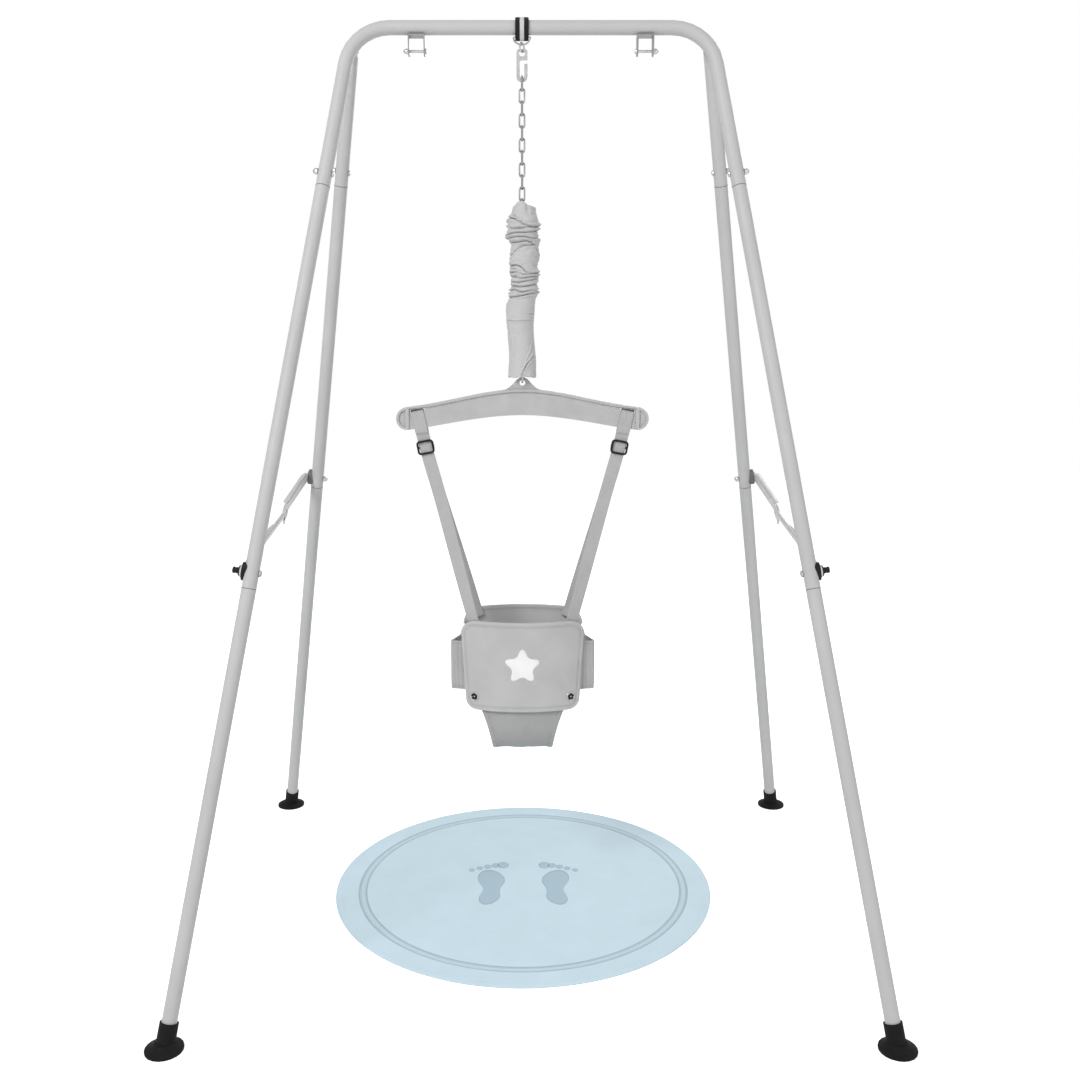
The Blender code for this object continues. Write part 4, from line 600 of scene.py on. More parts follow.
def wing_path():
    """The wing in plan: flat inside the front panel, folded round the side and back to the back panel."""
    inset, fold = PANEL_THICKNESS + BAND_THICKNESS, 2 * BAND_THICKNESS
    root_x, tip_x = PANEL_HALF_WIDTH * 0.893, PANEL_HALF_WIDTH * 0.8
    edge_x, root_y = BAND_HALF_WIDTH - BAND_THICKNESS / 2, panel_depth(root_x)
    tip_y, flat_y = inset - panel_depth(tip_x), inset - panel_depth(PANEL_HALF_WIDTH)
    return np.concatenate([
        bezier((tip_x, tip_y), (tip_x + fold * 1.67, tip_y + fold * 1.17), (edge_x - fold * 2.8, flat_y),
               (edge_x - fold, flat_y)),
        bezier((edge_x - fold, flat_y), (edge_x + fold / 3, flat_y), (edge_x + fold / 3, flat_y + fold),
               (edge_x - fold / 2, flat_y + 2 * fold)),
        bezier((edge_x - fold / 2, flat_y + 2 * fold), (edge_x - fold * 1.5, flat_y + 6 * fold),
               (root_x + fold * 1.5, root_y - 4 * fold), (root_x, root_y)),
        [(root_x, root_y)]])


def wing(side, name):
    """A side wing of the back panel, creased up its height."""
    path, height = wing_path(), BAND_TOP - BAND_BOTTOM
    length = run_lengths(path)[-1]
    stations = eased_edges(96, 0.003, length) * length
    x, y = at_lengths(stations, path).T
    run, z = np.meshgrid(stations, BAND_BOTTOM + height * eased_edges(36, 0.003, height))
    middle = np.stack([JUMPER_X + side * x + 0 * z, y + 0 * z, z], -1)
    out = unit(np.cross(unit(np.gradient(middle, axis=1)), (0, 0, side)))
    edge = np.minimum(np.minimum(z - BAND_BOTTOM, BAND_TOP - z), np.minimum(run, length - run))
    wander = bumps(np.stack([run * 0.4, z * 0.5], -1), 40, 3 + side) * 0.0011
    first_crease, crease_pitch, crease_depth = np.interp(0.121, x, stations), 0.0087, 0.00085
    creases = 1 - 2 * np.abs(np.sin(math.pi * (run + wander - first_crease) / crease_pitch)) ** 0.5
    middle = middle - out * (creases * crease_depth * ramp(edge, 0.004))[..., None]
    half = hem_profile(edge, 0.0013, (WING_SEAM,), 0.0013, 0.0012, 0.0002)
    # Painted shade: the cloth is darkened in the crease valleys and along the seam.
    wing_painted_shade = 0.35 * np.clip(creases, 0, 1) ** 3 + seam_painted_shade(edge, (WING_SEAM,), most=0.3)
    made = shell("side_wing_" + name, middle, out, half, WING_SHADED_CLOTH, np.stack([run, z, wing_painted_shade], -1), side < 0)


for side, name in SIDES:
    wing(side, name)
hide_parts("front_panel")
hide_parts("back_panel")


def rounded_path(corners, radius, steps):
    """Corner points joined by straight runs and arcs."""
    corners = [Vector(p) for p in corners]
    path = [corners[0]]
    for before, corner, after in zip(corners, corners[1:], corners[2:]):
        a, b = (before - corner).normalized(), (after - corner).normalized()
        half = a.angle(b) / 2
        centre = corner + (a + b).normalized() * radius / math.sin(half)
        start, end = (corner + way * radius / math.tan(half) - centre for way in (a, b))
        sweep, axis = start.angle(end), start.cross(end).normalized()
        path += [centre + Quaternion(axis, sweep * i / steps) @ start for i in range(steps + 1)]
    return np.array([tuple(p) for p in path + [corners[-1]]])


def resampled(path, count):
    """Evenly spaced points along a path, and how far along it they lie."""
    stations = np.linspace(0, run_lengths(path)[-1], count)
    return at_lengths(stations, path), stations


def seat_sling():
    """The sling from inside the front panel down and up inside the back panel, its leg edges bound."""
    gap = (PANEL_THICKNESS + SEAT_THICKNESS) / 2 + 0.002
    top_y, low_y = ELLIPSE_Y - gap, (ELLIPSE_Y - gap) * 0.92
    path, run = resampled(rounded_path([(-top_y, 0, SEAT_TOP), (-low_y, 0, SEAT_BOTTOM), (low_y, 0, SEAT_BOTTOM),
                                        (top_y, 0, SEAT_TOP)], top_y * 0.82, 16), 92)
    share = (path[:, 2:] - SEAT_BOTTOM) / (SEAT_TOP - SEAT_BOTTOM)
    half_width = 0.0578 + 0.0223 * ramp(share, 0.686) ** 1.8
    x = half_width * (2 * eased_edges(34, 0.003, 0.12, 0.012, 0.0007) - 1)
    middle = np.stack([JUMPER_X + x, path[:, :1] * (panel_depth(x) - gap) / top_y, path[:, 2:] + 0 * x], -1)
    out = unit(np.cross(np.gradient(middle, axis=0), np.gradient(middle, axis=1)))
    from_side = half_width - np.abs(x)
    edge = np.minimum(from_side, np.minimum(run, run[-1] - run)[:, None])
    # The weave's third value is painted shade along the seat's seam.
    weave = np.stack([x, run[:, None] + 0 * x, seam_painted_shade(from_side, (SEAT_SEAM,), 0.0010, 0.45)], -1)
    folds = bumps(weave[..., :2] * (2.2, 0.7), 26, 5) * 0.0011
    middle = middle + out * (folds * ramp(edge, 0.012))[..., None]
    half = hem_profile(edge, 0.0026, (SEAT_SEAM,), 0.0013, 0.0018, 0.0004)
    half += 0.0004 * bell(edge - 0.0050, 0.0034) * (from_side < 0.0100)
    made = shell("seat_cloth_sling", middle, out, half, SEAT_CLOTH, weave)
    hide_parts("seat")
    cloth = np.concatenate([middle, out, half[..., None]], -1)
    starts, ends, outs = [], [], []
    for side in (-1, 1):
        seam = np.array([[np.interp(side * (half_width[row, 0] - SEAT_SEAM), x[row], values)
                          for values in cloth[row].T] for row in range(2, len(run) - 1)])
        spots = seam[:, :3] + seam[:, 3:6] * seam[:, 6:]
        starts += list(spots[:-1])
        ends += list(spots[:-1] + np.diff(spots, axis=0) * 0.78)
        outs += list(seam[:-1, 3:6])
    return made, stitches("seat_stitches", starts, ends, outs)


seat, seat_seams = seat_sling()


def strap_x(height):
    if height > BUCKLE_HEIGHT:
        return BUCKLE_X + (SLOT_X - BUCKLE_X) * (height - BUCKLE_HEIGHT) / (SLOT_HEIGHT - BUCKLE_HEIGHT)
    return STRAP_END_X + (BUCKLE_X - STRAP_END_X) * (height - PANEL_TOP) / (BUCKLE_HEIGHT - PANEL_TOP)


def catmull(points, per_step):
    """A smooth run through chosen points."""
    points = np.asarray(points, float)
    padded = np.concatenate([[2 * points[0] - points[1]], points, [2 * points[-1] - points[-2]]])
    t = np.linspace(0, 1, per_step, endpoint=False)[:, None]
    return np.concatenate([
        0.5 * (2 * p1 + (p2 - p0) * t + (2 * p0 - 5 * p1 + 4 * p2 - p3) * t ** 2 + (3 * p1 - p0 - 3 * p2 + p3) * t ** 3)
        for p0, p1, p2, p3 in zip(padded, padded[1:], padded[2:], padded[3:])] + [points[-1:]])


def shoulder_strap(side, name):
    """One strap: from inside the front panel up round the hanger's web and down inside the back panel."""
    layer, web = 0.0012, 0.00475 + CLEARANCE + STRAP_THICKNESS / 2
    end_y = panel_depth(STRAP_END_X) - PANEL_THICKNESS / 2 - STRAP_THICKNESS / 2 - 0.0020
    turn_in = math.atan2(ELLIPSE_Y ** 2 * STRAP_END_X, ELLIPSE_X ** 2 * panel_depth(STRAP_END_X))
    half = [(end_y, PANEL_TOP - 0.022, 1), (end_y, PANEL_TOP + 0.004, 1), (end_y * 0.86, PANEL_TOP + 0.045, 0.8),
            (end_y * 0.55, PANEL_TOP + 0.11, 0.4), (end_y * 0.2, PANEL_TOP + 0.18, 0.1),
            (layer, PANEL_TOP + 0.232, 0), (layer, BUCKLE_HEIGHT - 0.02, 0), (layer, BUCKLE_HEIGHT + 0.02, 0),
            (web, SLOT_HEIGHT - 0.037, 0), (web, SLOT_HEIGHT - 0.0030, 0), (web * 0.9, SLOT_HEIGHT + 0.0008, 0),
            (web * 0.35, SLOT_HEIGHT + 0.0018, 0)]
    path = [(strap_x(z), face * y, z, face * twist * turn_in)
            for face, run in ((-1, half), (1, reversed(half))) for y, z, twist in run]
    x, y, z, twist = catmull(path, 7).T
    centre = np.stack([JUMPER_X + side * x, y, z], 1)
    tangent = unit(np.gradient(centre, axis=0))
    width = np.stack([side * np.cos(twist), -np.sin(twist), np.full(len(twist), -0.12)], 1)
    width = unit(width - tangent * (width * tangent).sum(1)[:, None])
    across = np.array([-1, -0.985, -0.95, -0.88, *np.linspace(-0.75, 0.75, 9), 0.88, 0.95, 0.985, 1])
    across = across * WEBBING_WIDTH / 2
    run = run_lengths(centre)
    across_grid, run_grid = np.meshgrid(across, run)
    middle = centre[:, None] + width[:, None] * across[:, None]
    out = np.broadcast_to(unit(np.cross(tangent, width))[:, None], middle.shape)
    near = ramp(WEBBING_WIDTH / 2 - np.abs(across_grid), 0.0009)
    # Painted shade: the strap turns near black in a narrow band just above the slot's height, where it goes into the
    # hanger's slot.
    slot_painted_shade = 0.9 * bell(z - SLOT_HEIGHT - 0.0009, 0.0013)
    weave = np.stack([across_grid, run_grid, slot_painted_shade[:, None] + 0 * run_grid], -1)
    made = shell("strap_" + name, middle, out, STRAP_THICKNESS / 2 * np.sqrt(1 - (1 - near) ** 2), GREY_WEBBING, weave)
    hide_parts("shoulder_strap_" + name)


for side, name in SIDES:
    shoulder_strap(side, name)


def webbing_loop():
    """The black webbing band over the bar and round the ring below it."""
    half_width, half_thickness = WEBBING_WIDTH / 2, BAR_WEBBING_THICKNESS / 2 + 0.0004
    upper_r, lower_r = TUBE_RADIUS + CLEARANCE + half_thickness, RING_WIRE_RADIUS + CLEARANCE + half_thickness
    lean = math.asin((upper_r - lower_r) / (BAR_HEIGHT - D_RING_HEIGHT))
    loop = [(radius * math.cos(a), height + radius * math.sin(a)) for radius, height, start, end, count in (
        (upper_r, BAR_HEIGHT, -lean, math.pi + lean, 40), (lower_r, D_RING_HEIGHT, math.pi + lean, math.tau - lean, 18))
        for a in np.linspace(start, end, count)]
    loop, run = (kept[:-1] for kept in resampled(np.array(loop + loop[:1]), 100))
    along = unit(np.roll(loop, -1, axis=0) - np.roll(loop, 1, axis=0))
    out = np.stack([0 * run, along[:, 1], -along[:, 0]], 1)
    centres = np.stack([0 * run + JUMPER_X, *loop.T], 1)
    u, v = circle_places(1, 28)
    u, v = half_width * np.copysign(np.abs(u) ** 0.18, u), half_thickness * np.copysign(np.abs(v) ** 0.7, v)
    made = mesh_piece("bar_webbing_loop", swept(centres, np.array([1, 0, 0]), out, u, v),
                      ring_faces(len(loop), len(u), closed=True), BLACK_WEBBING, "bar_loop",
                      np.stack(np.meshgrid(u, run), -1))
    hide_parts("bar_strap")


webbing_loop()


def spring_coil():
    """The spring's hook and close helix as one round wire."""
    hook = np.radians(np.linspace(270, -60, 30))[:-1]
    turn = np.linspace(0, COIL_TURNS, COIL_TURNS * 20 + 1)
    a = math.tau * turn - math.pi / 2
    hook_lift, coil_drop, coil_length = 0.0004, 0.004, 0.258
    path = np.concatenate([
        np.stack([0 * hook, -HOOK_RADIUS * np.cos(hook), SPRING_TOP + hook_lift + HOOK_RADIUS * np.sin(hook)], 1),
        np.stack([COIL_RADIUS * np.cos(a), COIL_RADIUS * np.sin(a),
                  SPRING_TOP - HOOK_RADIUS - coil_drop - coil_length * turn / COIL_TURNS], 1)])
    path[:, 0] += JUMPER_X
    tangent = unit(np.gradient(path, axis=0))
    normal = [unit(np.cross(tangent[0], (0.0, 0.0, 1.0)))]
    for way in tangent[1:]:
        normal.append(unit(normal[-1] - way * (normal[-1] @ way)))
    normal, sides = np.array(normal), 8
    points = swept(path, normal, np.cross(tangent, normal), *circle_places(SPRING_WIRE_RADIUS, sides))
    made = mesh_piece("spring_wire", points, ring_faces(len(path), sides, capped=True), CHAIN_STEEL, None)
    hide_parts("coil_spring")
    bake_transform(made)


spring_coil()


# The sleeve down its length: millimetres below its top, how far its middle stands to the right, its radius
SLEEVE_SHAPE = ((0, 2.9, 20.4), (7, 2.9, 20.9), (20, 2.2, 23.6), (34, 2.1, 27.1), (42, 2.3, 27.9), (50, 0.0, 26.0),
                (60, -0.5, 28.6), (66, 3.0, 28.6), (72, 5.0, 25.9), (78, 5.0, 24.4), (84, 4.4, 25.4), (95, 4.4, 26.6),
                (107, 2.3, 25.8), (113, 2.6, 24.0), (125, 3.8, 26.2), (132, 4.4, 23.6), (138, 4.3, 24.6),
                (144, 2.9, 23.4), (149, 3.8, 22.9), (157, 3.4, 26.1), (166, 1.4, 24.9), (172, 0.3, 23.6),
                (180, -3.0, 26.2), (192, -3.6, 26.2), (201, -4.1, 25.7), (216, -4.0, 24.7), (230, -3.2, 24.0),
                (245, -2.3, 24.1), (260, -0.9, 24.1), (274, 0.3, 24.4), (289, 0.2, 25.2), (304, -0.5, 25.8),
                (313, -0.7, 26.0))
# Its folds: depth and width in mm, then points as degrees round from the front and mm below the top
SLEEVE_FOLDS = (
    (3.6, 1.7, (-80, 26), (-31, 32), (-2, 41), (34, 45), (90, 43)),
    (2.2, 1.3, (-39, 24), (-23, 30), (-9, 36)),
    (2.8, 1.6, (-90, 38), (-49, 48), (-2, 48), (26, 46)),
    (3.0, 1.3, (-90, 60), (-60, 58), (-23, 56), (8, 56), (43, 54), (78, 50)),
    (2.6, 1.2, (-90, 66), (-31, 63), (5, 63), (34, 66), (90, 61)),
    (3.2, 1.4, (-60, 72), (-23, 72), (5, 70), (34, 74), (53, 83), (72, 96)),
    (2.0, 1.5, (-68, 95), (-44, 88), (-23, 81), (-2, 78), (34, 77)),
    (3.2, 1.4, (-68, 113), (-31, 112), (-9, 116), (8, 125)),
    (2.0, 1.2, (-39, 119), (-12, 125)),
    (3.0, 1.3, (-75, 125), (-31, 124), (-9, 129), (26, 128), (90, 124)),
    (2.4, 1.2, (-54, 132), (-16, 136), (19, 134), (78, 130)),
    (2.8, 1.3, (-60, 141), (-23, 143), (12, 140), (59, 136)),
    (2.8, 1.3, (-54, 149), (-16, 151), (19, 149), (66, 145)),
    (3.0, 1.4, (-80, 158), (-39, 155), (-12, 161), (26, 157), (90, 156)),
    (3.2, 1.5, (-80, 169), (-31, 168), (-2, 166), (34, 162), (78, 158)),
    (1.4, 0.9, (-64, 210), (-15, 212), (37, 210)),
    (1.2, 1.0, (42, 199), (90, 197)),
    (2.2, 1.3, (57, 274), (30, 284), (14, 293), (2, 307)),
    (-0.9, 1.4, (57, 248), (39, 263), (15, 281), (4, 302)),
    (-0.6, 1.8, (-50, 215), (-47, 235), (-38, 262)))
# How far the upper rim dips, by degrees round from the front and in mm
SLEEVE_RIM = ((-180, 5), (-150, 2), (-120, 6), (-90, 10), (-54, 8), (-35, 1.5), (-16, -0.5), (8, 0), (15, 6), (20, 11),
              (30, 9), (51, 5), (66, 12), (90, 14), (120, 5), (150, 8), (180, 5))


def smoothed(at, points):
    """A curve through (place, value) points with its corners rounded off."""
    x, y = np.array(sorted(points), float).T
    fine = np.linspace(x[0], x[-1], 80)
    kernel = np.hanning(17)[1:-1]
    padded = np.pad(np.interp(fine, x, y), 7, mode='reflect', reflect_type='odd')
    return np.interp(at, fine, np.convolve(padded, kernel / kernel.sum(), 'valid'))


def sleeve_folds(round_from_front, down):
    """How far the folds move each point out, and along the tube towards the fold, in millimetres.

    Folds seen from the front come back on the far side as a mirror image, a little weaker and moved up or down.
    """
    out, along = np.zeros_like(down), np.zeros_like(down)
    to_back = np.where(round_from_front > 0, 180, -180) - round_from_front
    for turn, force, wander in ((round_from_front, 1.1, 0.0), (to_back, 0.95, 5.0)):
        for k, (depth, width, *points) in enumerate(SLEEVE_FOLDS):
            (first_turn, first_down), (last_turn, last_down) = points[0], points[-1]
            if first_turn > last_turn or last_down - first_down > 25:
                turns, downs = np.array(points).T
                line = np.interp(down, downs, turns)
                gap = np.where(np.abs(turn - line) > 90, 99.0, (turn - line) * 0.44)
                past = np.maximum(first_down - down, down - last_down).clip(0) / 5
            else:
                gap = down - smoothed(turn, points) - wander * math.sin(k * 1.7)
                past = np.maximum(first_turn - turn, turn - last_turn).clip(0) / 20
            strength = bell(past, 1) * depth * force
            lips = bell(np.abs(gap) - 2.5 * width, 1.35 * width)
            out += strength * (0.55 * lips - bell(gap, width))
            along -= 0.42 * gap * bell(gap, 1.7 * width) * ramp(strength, 2)
    return out, along


def sleeve():
    """The gathered fabric tube over the spring, its ends open; worked out in millimetres."""
    a, down = np.meshgrid(circle(144), np.linspace(0, (SLEEVE_TOP - SLEEVE_BOTTOM) * 1000, 400))
    turn = (np.degrees(a) + 270) % 360 - 180
    below, shifts, radii = np.array(SLEEVE_SHAPE).T
    shift, radius = np.interp(down, below, shifts), np.interp(down, below, radii)
    out, along = sleeve_folds(turn, down)
    ring = np.stack([np.cos(a) * 0.026, np.sin(a) * 0.026, down / 1000], -1)
    slack = np.interp(down, (0, 20, 165, 180, 313), (0.7, 1, 1, 0.35, 0.3))
    ridges = 1 - 2 * np.abs(bumps(ring * (1, 1, 2.4), 48, 9))
    rim, foot = ramp(32 - down, 32), ramp(down - 296, 17)
    radius = radius + out + slack * (0.9 * ridges + 0.5 * bumps(ring * (1, 1, 2.0), 90, 8, 3))
    radius += rim * (1.3 * np.cos(np.radians(3 * turn + 40)) - 2.6 * bell(turn - 20, 9))
    radius += foot * (0.9 * np.cos(4 * a + 2.1) + 0.7 * np.cos(7 * a))
    radius = np.maximum(radius, 18.0 + np.abs(shift) * 0.4) / 1000
    height = SLEEVE_TOP - (down + smoothed(turn, SLEEVE_RIM) * rim + along + foot * 1.1 * np.cos(4 * a + 2.1)) / 1000
    # The weave's third value is painted shade in the fold grooves, deeper where the cloth is pulled in.
    weave = np.stack([a * 0.027, height * 1.2, np.clip(-out - along.clip(0) * 0.1, 0, 4) * 0.11], -1)
    points = np.stack([JUMPER_X + radius * np.cos(a) + shift / 1000, radius * np.sin(a), height], -1)
    made = mesh_piece("sleeve_gathered", points, ring_faces(*a.shape, flip=True), SLEEVE_CLOTH, None, weave)
    wall = made.modifiers.new("wall", 'SOLIDIFY')
    wall.thickness, wall.offset = 0.0007, -1
    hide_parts("spring_sleeve")
    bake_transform(made)


sleeve()


def turned(centre, axis, first, second, profile, sides):
    """Points and faces of a closed body turned round an axis from (radius, height) pairs, its last ring capped."""
    radius, height = np.array(profile[1:]).T[..., None]
    rings = swept(centre + height * axis, first, second, *circle_places(radius, sides))
    points = np.concatenate([[centre + axis * profile[0][1]], rings.reshape(-1, 3)])
    return points, disc_faces(len(rings), sides) + [range(len(points) - 1, len(points) - 1 - sides, -1)]


def snap(name, x):
    """A pressed metal snap cap: a rolled rim, a dished middle and five dark petals."""
    spots, outs = FRONT.surface(np.array([x]), np.array([SNAP_HEIGHT]))
    out, up = outs[0], np.array([0.0, 0.0, 1.0])
    spot, side = spots[0] - out * 0.0004, unit(np.cross(up, out))
    profile = [(0.0, 0.0017), (0.0015, 0.0016), (0.0030, 0.0010), (0.0056, 0.0010), (0.0068, 0.0018), (0.0076, 0.0023),
               (0.0084, 0.0018), (0.0088, 0.0006), (0.0088, -0.0006)]
    cap = mesh_piece(name, *turned(spot, out, side, up, profile, 40), ZINC, "harness")
    petals, faces, a = [], [], circle(12)
    u, v = 0.0042 + 0.0030 * np.cos(a), 0.0026 * np.sin(a) * (1 + 0.35 * np.cos(a))
    base_and_top = spot + out * np.array([[0.0005], [0.0018]])
    for petal in range(5):
        turn = math.tau * petal / 5 + math.pi / 2
        petals.append(swept(base_and_top, side * math.cos(turn) + up * math.sin(turn),
                            up * math.cos(turn) - side * math.sin(turn), u, v))
        faces += ring_faces(2, len(a), petal * 2 * len(a), capped=True)
    return [cap, mesh_piece(name + "_petals", np.array(petals), faces, BLACK_PLASTIC, "harness")]


snaps = snap("snap_left", -SNAP_X) + snap("snap_right", SNAP_X)


def printed_star():
    """A plain rounded star printed on the front panel."""
    a, rings = circle(120), 12
    reach = STAR_RADIUS * (1 + 0.235 * np.cos(5 * (a - math.pi / 2)) + 0.045 * np.cos(10 * (a - math.pi / 2)))
    shares = np.minimum(np.arange(1, rings + 1) / (rings - 1), 1)
    x, z = (np.append(0, np.outer(shares, reach * way)) for way in (np.cos(a), np.sin(a)))
    lift = np.full(len(x), 0.00035)
    lift[-len(a):] = -0.0006
    points, _ = FRONT.surface(x, STAR_HEIGHT + z, lift)
    return mesh_piece("front_panel_star", points, disc_faces(rings, len(a)), PRINT, "harness")


star = printed_star()


# The stand's right side; the left side is its mirror image
SPLAY = (FOOT_HALF_X - CORNER_HALF_X) / BAR_HEIGHT
SIDE_NORMAL = np.array([math.cos(math.atan(SPLAY)), 0, math.sin(math.atan(SPLAY))])
SIDE_UP = np.array([-SIDE_NORMAL[2], 0, SIDE_NORMAL[0]])
FRONT_LAYER = TUBE_RADIUS + SADDLE_THICKNESS + CLEARANCE
REAR_LAYER = FRONT_LAYER + BRACE_THICKNESS + SLIDING_GAP


def front_leg(height):
    return np.array([CORNER_HALF_X + SPLAY * (BAR_HEIGHT - height), -FOOT_HALF_Y * (1 - height / BAR_HEIGHT), height])


def rear_leg(height):
    set_back = HINGE_SETBACK + (FOOT_HALF_Y - HINGE_SETBACK) * (1 - height / HINGE_HEIGHT)
    return np.array([CORNER_HALF_X + SPLAY * (BAR_HEIGHT - height), set_back, height])


def mirrored_piece(name, points, faces, finish, body, side):
    """A closed piece made for the right side, or its mirror image on the left, all its faces turned outward."""
    made = mesh_piece(name, points * np.array([side, 1, 1]), faces, finish, body)
    shape = bmesh.new()
    shape.from_mesh(made.data)
    bmesh.ops.recalc_face_normals(shape, faces=shape.faces)
    shape.to_mesh(made.data)
    shape.free()
    return made


def brace_flanges(side, name, half, end, middle, layer, start, stop, taper):
    """The folded edges of a brace half, standing out from its outer face and tapering at both ends."""
    along, stations, base_reach, depth, edge_radius = unit(middle - end), 28, 0.0010, 0.0090, 0.0004
    place = np.linspace(start, np.linalg.norm(middle - end) - stop, stations)
    ease = np.minimum(1, np.minimum(place - place[0], place[-1] - place) / taper)
    reach = (base_reach + (depth - base_reach) * (0.5 - 0.5 * np.cos(math.pi * ease)))[:, None]
    spine = end + along * place[:, None] + SIDE_NORMAL * (layer + BRACE_THICKNESS - 0.0003)
    outer = BRACE_HEIGHT / 2
    inner = outer - 0.0012
    u = (inner, outer, outer, outer - edge_radius, inner + edge_radius, inner)
    v = reach * (0, 0, 1, 1, 1, 1) - np.array([0, 0, 1, 0, 0, 1]) * edge_radius
    points = [swept(spine, np.cross(SIDE_NORMAL, along) * edge, SIDE_NORMAL, u, v) for edge in (-1, 1)]
    faces = [face for base in (0, stations * len(u)) for face in ring_faces(stations, len(u), base, capped=True)]
    made = mirrored_piece("brace_flanges_%s_%s" % (half, name), np.array(points), faces, BRACE_PAINT,
                          "brace_%s_half_%s" % (half, name), side)


def square_to(axis):
    """An axis as a unit vector, with two more square to it and to each other."""
    axis = Vector(axis).normalized()
    first = axis.orthogonal().normalized()
    return [np.array(way) for way in (axis, first, axis.cross(first))]


def leg_seam(name, body, centre, axis, side):
    """The dark joint line round a leg where its lower tube slides into the upper one."""
    axis, first, second = square_to(axis)
    a = circle(40)[:, None]
    inner, outer, half = TUBE_RADIUS - 0.0006, TUBE_RADIUS + 0.00012, 0.0006
    points = swept(centre, first * np.cos(a) + second * np.sin(a), axis, (inner, outer, outer, inner),
                   (-half, -half, half, half))
    faces = ring_faces(len(a), 4, closed=True)
    mirrored_piece(name, points, faces, SEAM_SHADOW, body, side)


def stand_details():
    front, rear = front_leg(FRONT_PIVOT_HEIGHT), rear_leg(REAR_PIVOT_HEIGHT)
    along = unit(front - rear)
    down = unit(along * (along @ SIDE_UP) - SIDE_UP)
    middle = rear + (front - rear) * BRACE_HINGE_SHARE + down * BRACE_HINGE_DROP
    dome = [(0, 0.0104), (0.0026, 0.0101), (0.0048, 0.0086), (0.0062, 0.0056), (0.0064, 0.0010), (0.0074, 0.0006),
            (0.0074, -0.0002)]
    cap_points, cap_faces = turned(rear + SIDE_NORMAL * (REAR_LAYER + BRACE_THICKNESS), *square_to(SIDE_NORMAL),
                                   dome, 24)
    for side, name in SIDES:
        brace_flanges(side, name, "front", front, middle, FRONT_LAYER, 0.050, 0.104, 0.060)
        brace_flanges(side, name, "rear", rear, middle, REAR_LAYER, 0.012, 0.017, 0.009)
        cap = mirrored_piece("rear_pivot_cap_" + name, cap_points, cap_faces, PAINT, "rear_leg_" + name, side)
        for leg, line, body, heights in (("front", front_leg, "frame", FRONT_SEAM_HEIGHTS),
                                         ("rear", rear_leg, "rear_leg_" + name, REAR_SEAM_HEIGHTS)):
            for place, height in zip(("lower", "upper"), heights):
                leg_seam("%s_%s_seam_%s" % (leg, place, name), body, line(height), line(1.0) - line(0.0), side)


stand_details()


def mat_material():
    """Pale blue coated felt: a fine pebble grain and a slow drift of tone."""
    made = Finish("mat_surface", linear(201, 222, 233), 0.75, specular=0.3)
    grain = made.speckle(900)
    made.base(made.shade(0.03, grain, made.clouds(0.025, 14, 5)))
    made.bump(grain, 0.00012, 0.5)
    made.bump(made.speckle(60, 4), 0.0004, 0.15)
    return made.material


def mat_ink(name, colour):
    made = Finish(name, colour, 0.7)
    made.base(made.shade(0.05, made.speckle(300)))
    made.bump(made.speckle(900), 0.0001, 0.5)
    return made.material


MAT_SURFACE = mat_material()
MAT_INK, MAT_PALE_INK = mat_ink("mat_ink", linear(166, 190, 203)), mat_ink("mat_pale_ink", linear(190, 212, 223))
MAT_FACE = MAT_THICKNESS - 0.0003


def on_mat(x, y, lift):
    """Points at places from the mat's middle, lifted off its upper surface, which is very slightly uneven."""
    x, y = JUMPER_X + x, MAT_CENTRE_Y + y
    rise = np.reshape([noise.noise(Vector((*place, 2.0))) for place in zip((x * 6).flat, (y * 6).flat)], x.shape)
    return np.stack([x, y, MAT_FACE + rise * 0.00022 + lift], -1)


def play_mat():
    """The round mat: flat to a stitched groove near its edge, then rounded over and down to the floor."""
    groove, bend, sides = 0.3735, 0.379, 160
    radii = np.concatenate([np.linspace(0.02, 0.330, 24), [
        0.336, 0.342, 0.35, 0.36, 0.368, 0.372, groove, 0.375, bend, 0.3825, 0.3843, MAT_RADIUS, 0.3846]])[:, None]
    points = on_mat(*circle_places(radii, sides), -0.0006 * (radii == groove))
    height = points[..., 2]
    height[:] = np.where(radii > bend, np.maximum(height - (radii - bend) ** 2 * 60, 0.0022), height)
    height[-2], height[-1] = 0.0016, 0.0
    points = np.concatenate([[(JUMPER_X, MAT_CENTRE_Y, MAT_FACE)], points.reshape(-1, 3)])
    underside = [range(len(points) - 1, len(points) - 1 - sides, -1)]
    made = mesh_piece("play_mat_cloth", points, disc_faces(len(radii), sides) + underside, MAT_SURFACE, "mat")
    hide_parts("play_mat")
    return made


mat = play_mat()


def mat_print(name, x, y, lifts, finish, middle=()):
    """A print from rings of places on the mat and how far each ring stands above it."""
    points = on_mat(x, y, np.array(lifts)[:, None])
    return mesh_piece(name, points, ring_faces(*x.shape, flip=True) + list(middle), finish, "mat")


def ink(name, x, y, steps=8):
    """A flat printed shape on the mat, from its outline."""
    shares = np.minimum(np.arange(1, steps + 2) / steps, 1)[:, None]
    x, y = (way.mean() + (way - way.mean()) * shares for way in (x, y))
    return mat_print(name, x, y, [0.00022] * steps + [-0.0006], MAT_INK, [range(x.shape[1])])


def mat_ring(name, radius, width, lift, finish):
    """A printed ring, a hair above the mat."""
    radii = radius + np.array([[-0.5], [-0.5], [0.5], [0.5]]) * width
    return mat_print(name, *circle_places(radii, 160), (-0.0012, lift, lift, -0.0012), finish)


mat_lines = [mat_ring("mat_ring_print", 0.338, 0.0026, 0.00012, MAT_INK),
             mat_ring("mat_ring_inner", 0.323, 0.0026, 0.00012, MAT_INK),
             mat_ring("mat_ring_band", 0.3305, 0.0140, 0.00006, MAT_PALE_INK)]


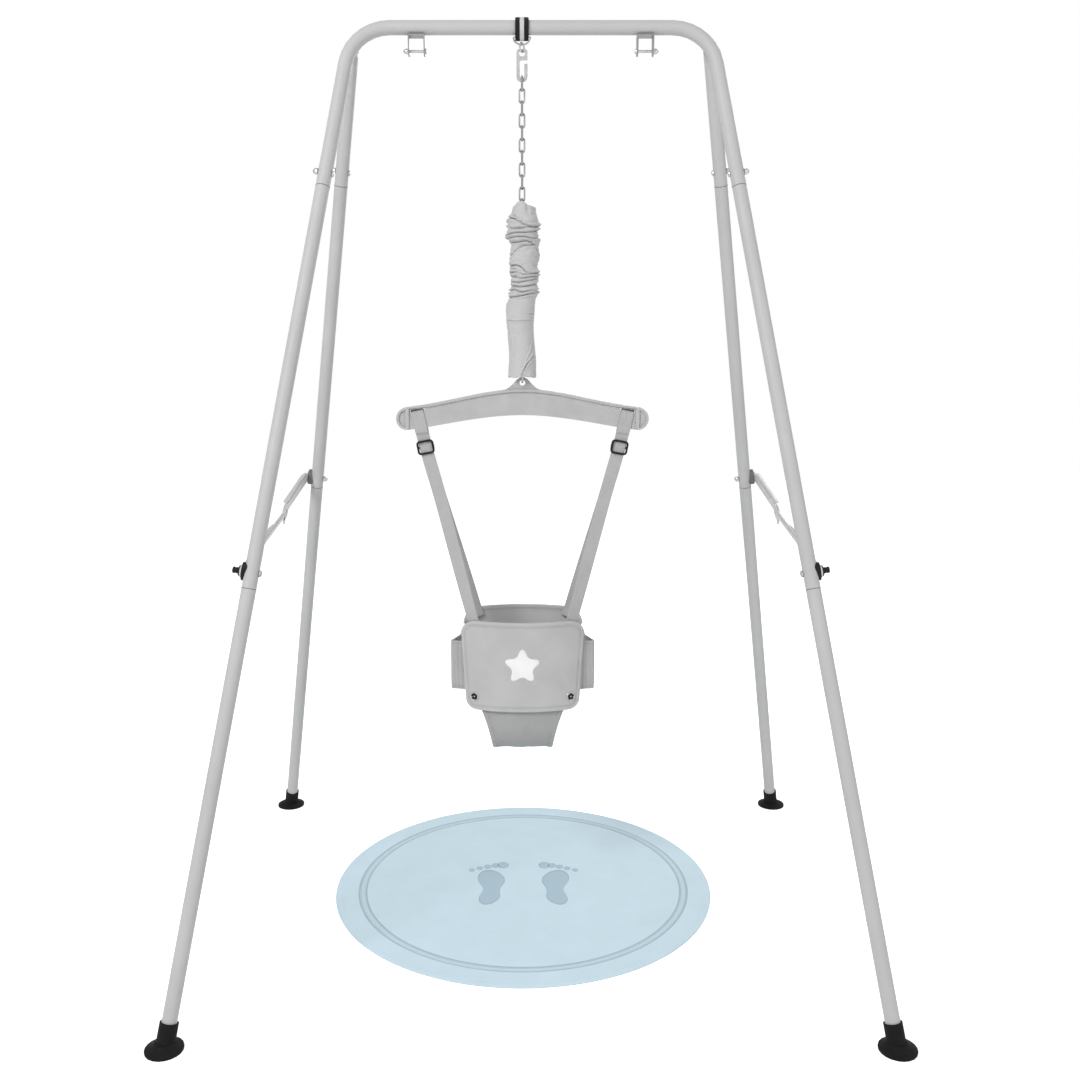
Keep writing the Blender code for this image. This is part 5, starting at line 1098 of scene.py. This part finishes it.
def footprints():
    """Two plain bare footprints, side by side."""
    pieces, half_length, from_middle = [], 0.075, 0.075
    for side, name in SIDES:
        a = circle(72)
        share = np.sin(a)
        y = half_length * share
        waist = 1 - 0.42 * bell(y + 0.012, 0.030)
        ball = 1 + 0.22 * np.maximum(0, share)
        x = 0.030 * np.cos(a) * waist * ball + side * (from_middle - 0.010 * np.cos(share * 1.5))
        pieces.append(ink("mat_sole_" + name, x, y - 0.02))
        for toe, size in enumerate((0.0145, 0.0105, 0.0095, 0.0085, 0.0075)):
            x, y = circle_places(size, 28)
            x = x * 0.82 + side * (from_middle - 0.031 + toe * 0.0165)
            y = y + 0.079 - 0.0035 * toe ** 1.4 - (0.002 if toe == 0 else 0)
            pieces.append(ink("mat_toe_%s_%d" % (name, toe + 1), x, y, 3))
    return pieces


prints = footprints()


def seen_rays(tree):
    """1 for what is seen straight on, mirrored or through a surface, 0 for light that falls on the part."""
    rays = add_node(tree, "LightPath", {}).outputs
    seen = rays["Is Camera Ray"]
    for kind in ("Is Glossy Ray", "Is Transmission Ray"):
        seen = add_node(tree, "Math", {0: seen, 1: rays[kind]}, operation='MAXIMUM').outputs[0]
    return seen


def studio():
    """A white floor and backdrop, soft lamps and the camera."""
    bpy.ops.mesh.primitive_plane_add(size=14, location=(0, 0, -0.0002))
    floor = bpy.context.object
    floor.name = "studio_floor"
    surface = Finish("floor_white", (0.93, 0.93, 0.93), 0.9, specular=0.1)
    surface.inputs["Emission Color"].default_value = (1, 1, 1, 1)
    glow = surface.math('MULTIPLY', seen_rays(surface.tree), 0.62)
    surface.tree.links.new(glow, surface.inputs["Emission Strength"])
    floor.data.materials.append(surface.material)

    scene.world = bpy.data.worlds.new("studio")
    scene.world.use_nodes = True
    tree = scene.world.node_tree
    tree.nodes.clear()
    soft, white = (add_node(tree, "Background", {"Color": (1, 1, 1, 1), "Strength": strength}).outputs[0]
                   for strength in (0.48, 1.0))
    mix = add_node(tree, "MixShader", {0: seen_rays(tree), 1: soft, 2: white})
    add_node(tree, "OutputWorld", {"Surface": mix.outputs[0]})

    for name, place, power, size in (("key", (-2.1, -2.9, 3.2), 96, 1.4), ("fill", (2.6, -2.2, 1.8), 22, 2.4),
                                     ("back", (1.2, 3.0, 2.6), 50, 2.2)):
        lamp = bpy.data.lights.new(name, 'AREA')
        lamp.energy, lamp.size = power, size
        held = bpy.data.objects.new(name, lamp)
        held.location = place
        held.rotation_euler = (Vector((0, 0, 0.8)) - Vector(place)).to_track_quat('-Z', 'Y').to_euler()
        scene.collection.objects.link(held)

    lens = bpy.data.cameras.new("camera")
    lens.lens, lens.sensor_width = 37.33, 36
    lens.shift_x, lens.clip_start = 0.0083, 0.02
    camera = bpy.data.objects.new("camera", lens)
    camera.location = (0, -2.099, 1.111)
    camera.rotation_euler = (math.radians(80), 0, 0)
    scene.collection.objects.link(camera)
    scene.camera = camera
    scene.view_settings.view_transform = 'Standard'


studio()
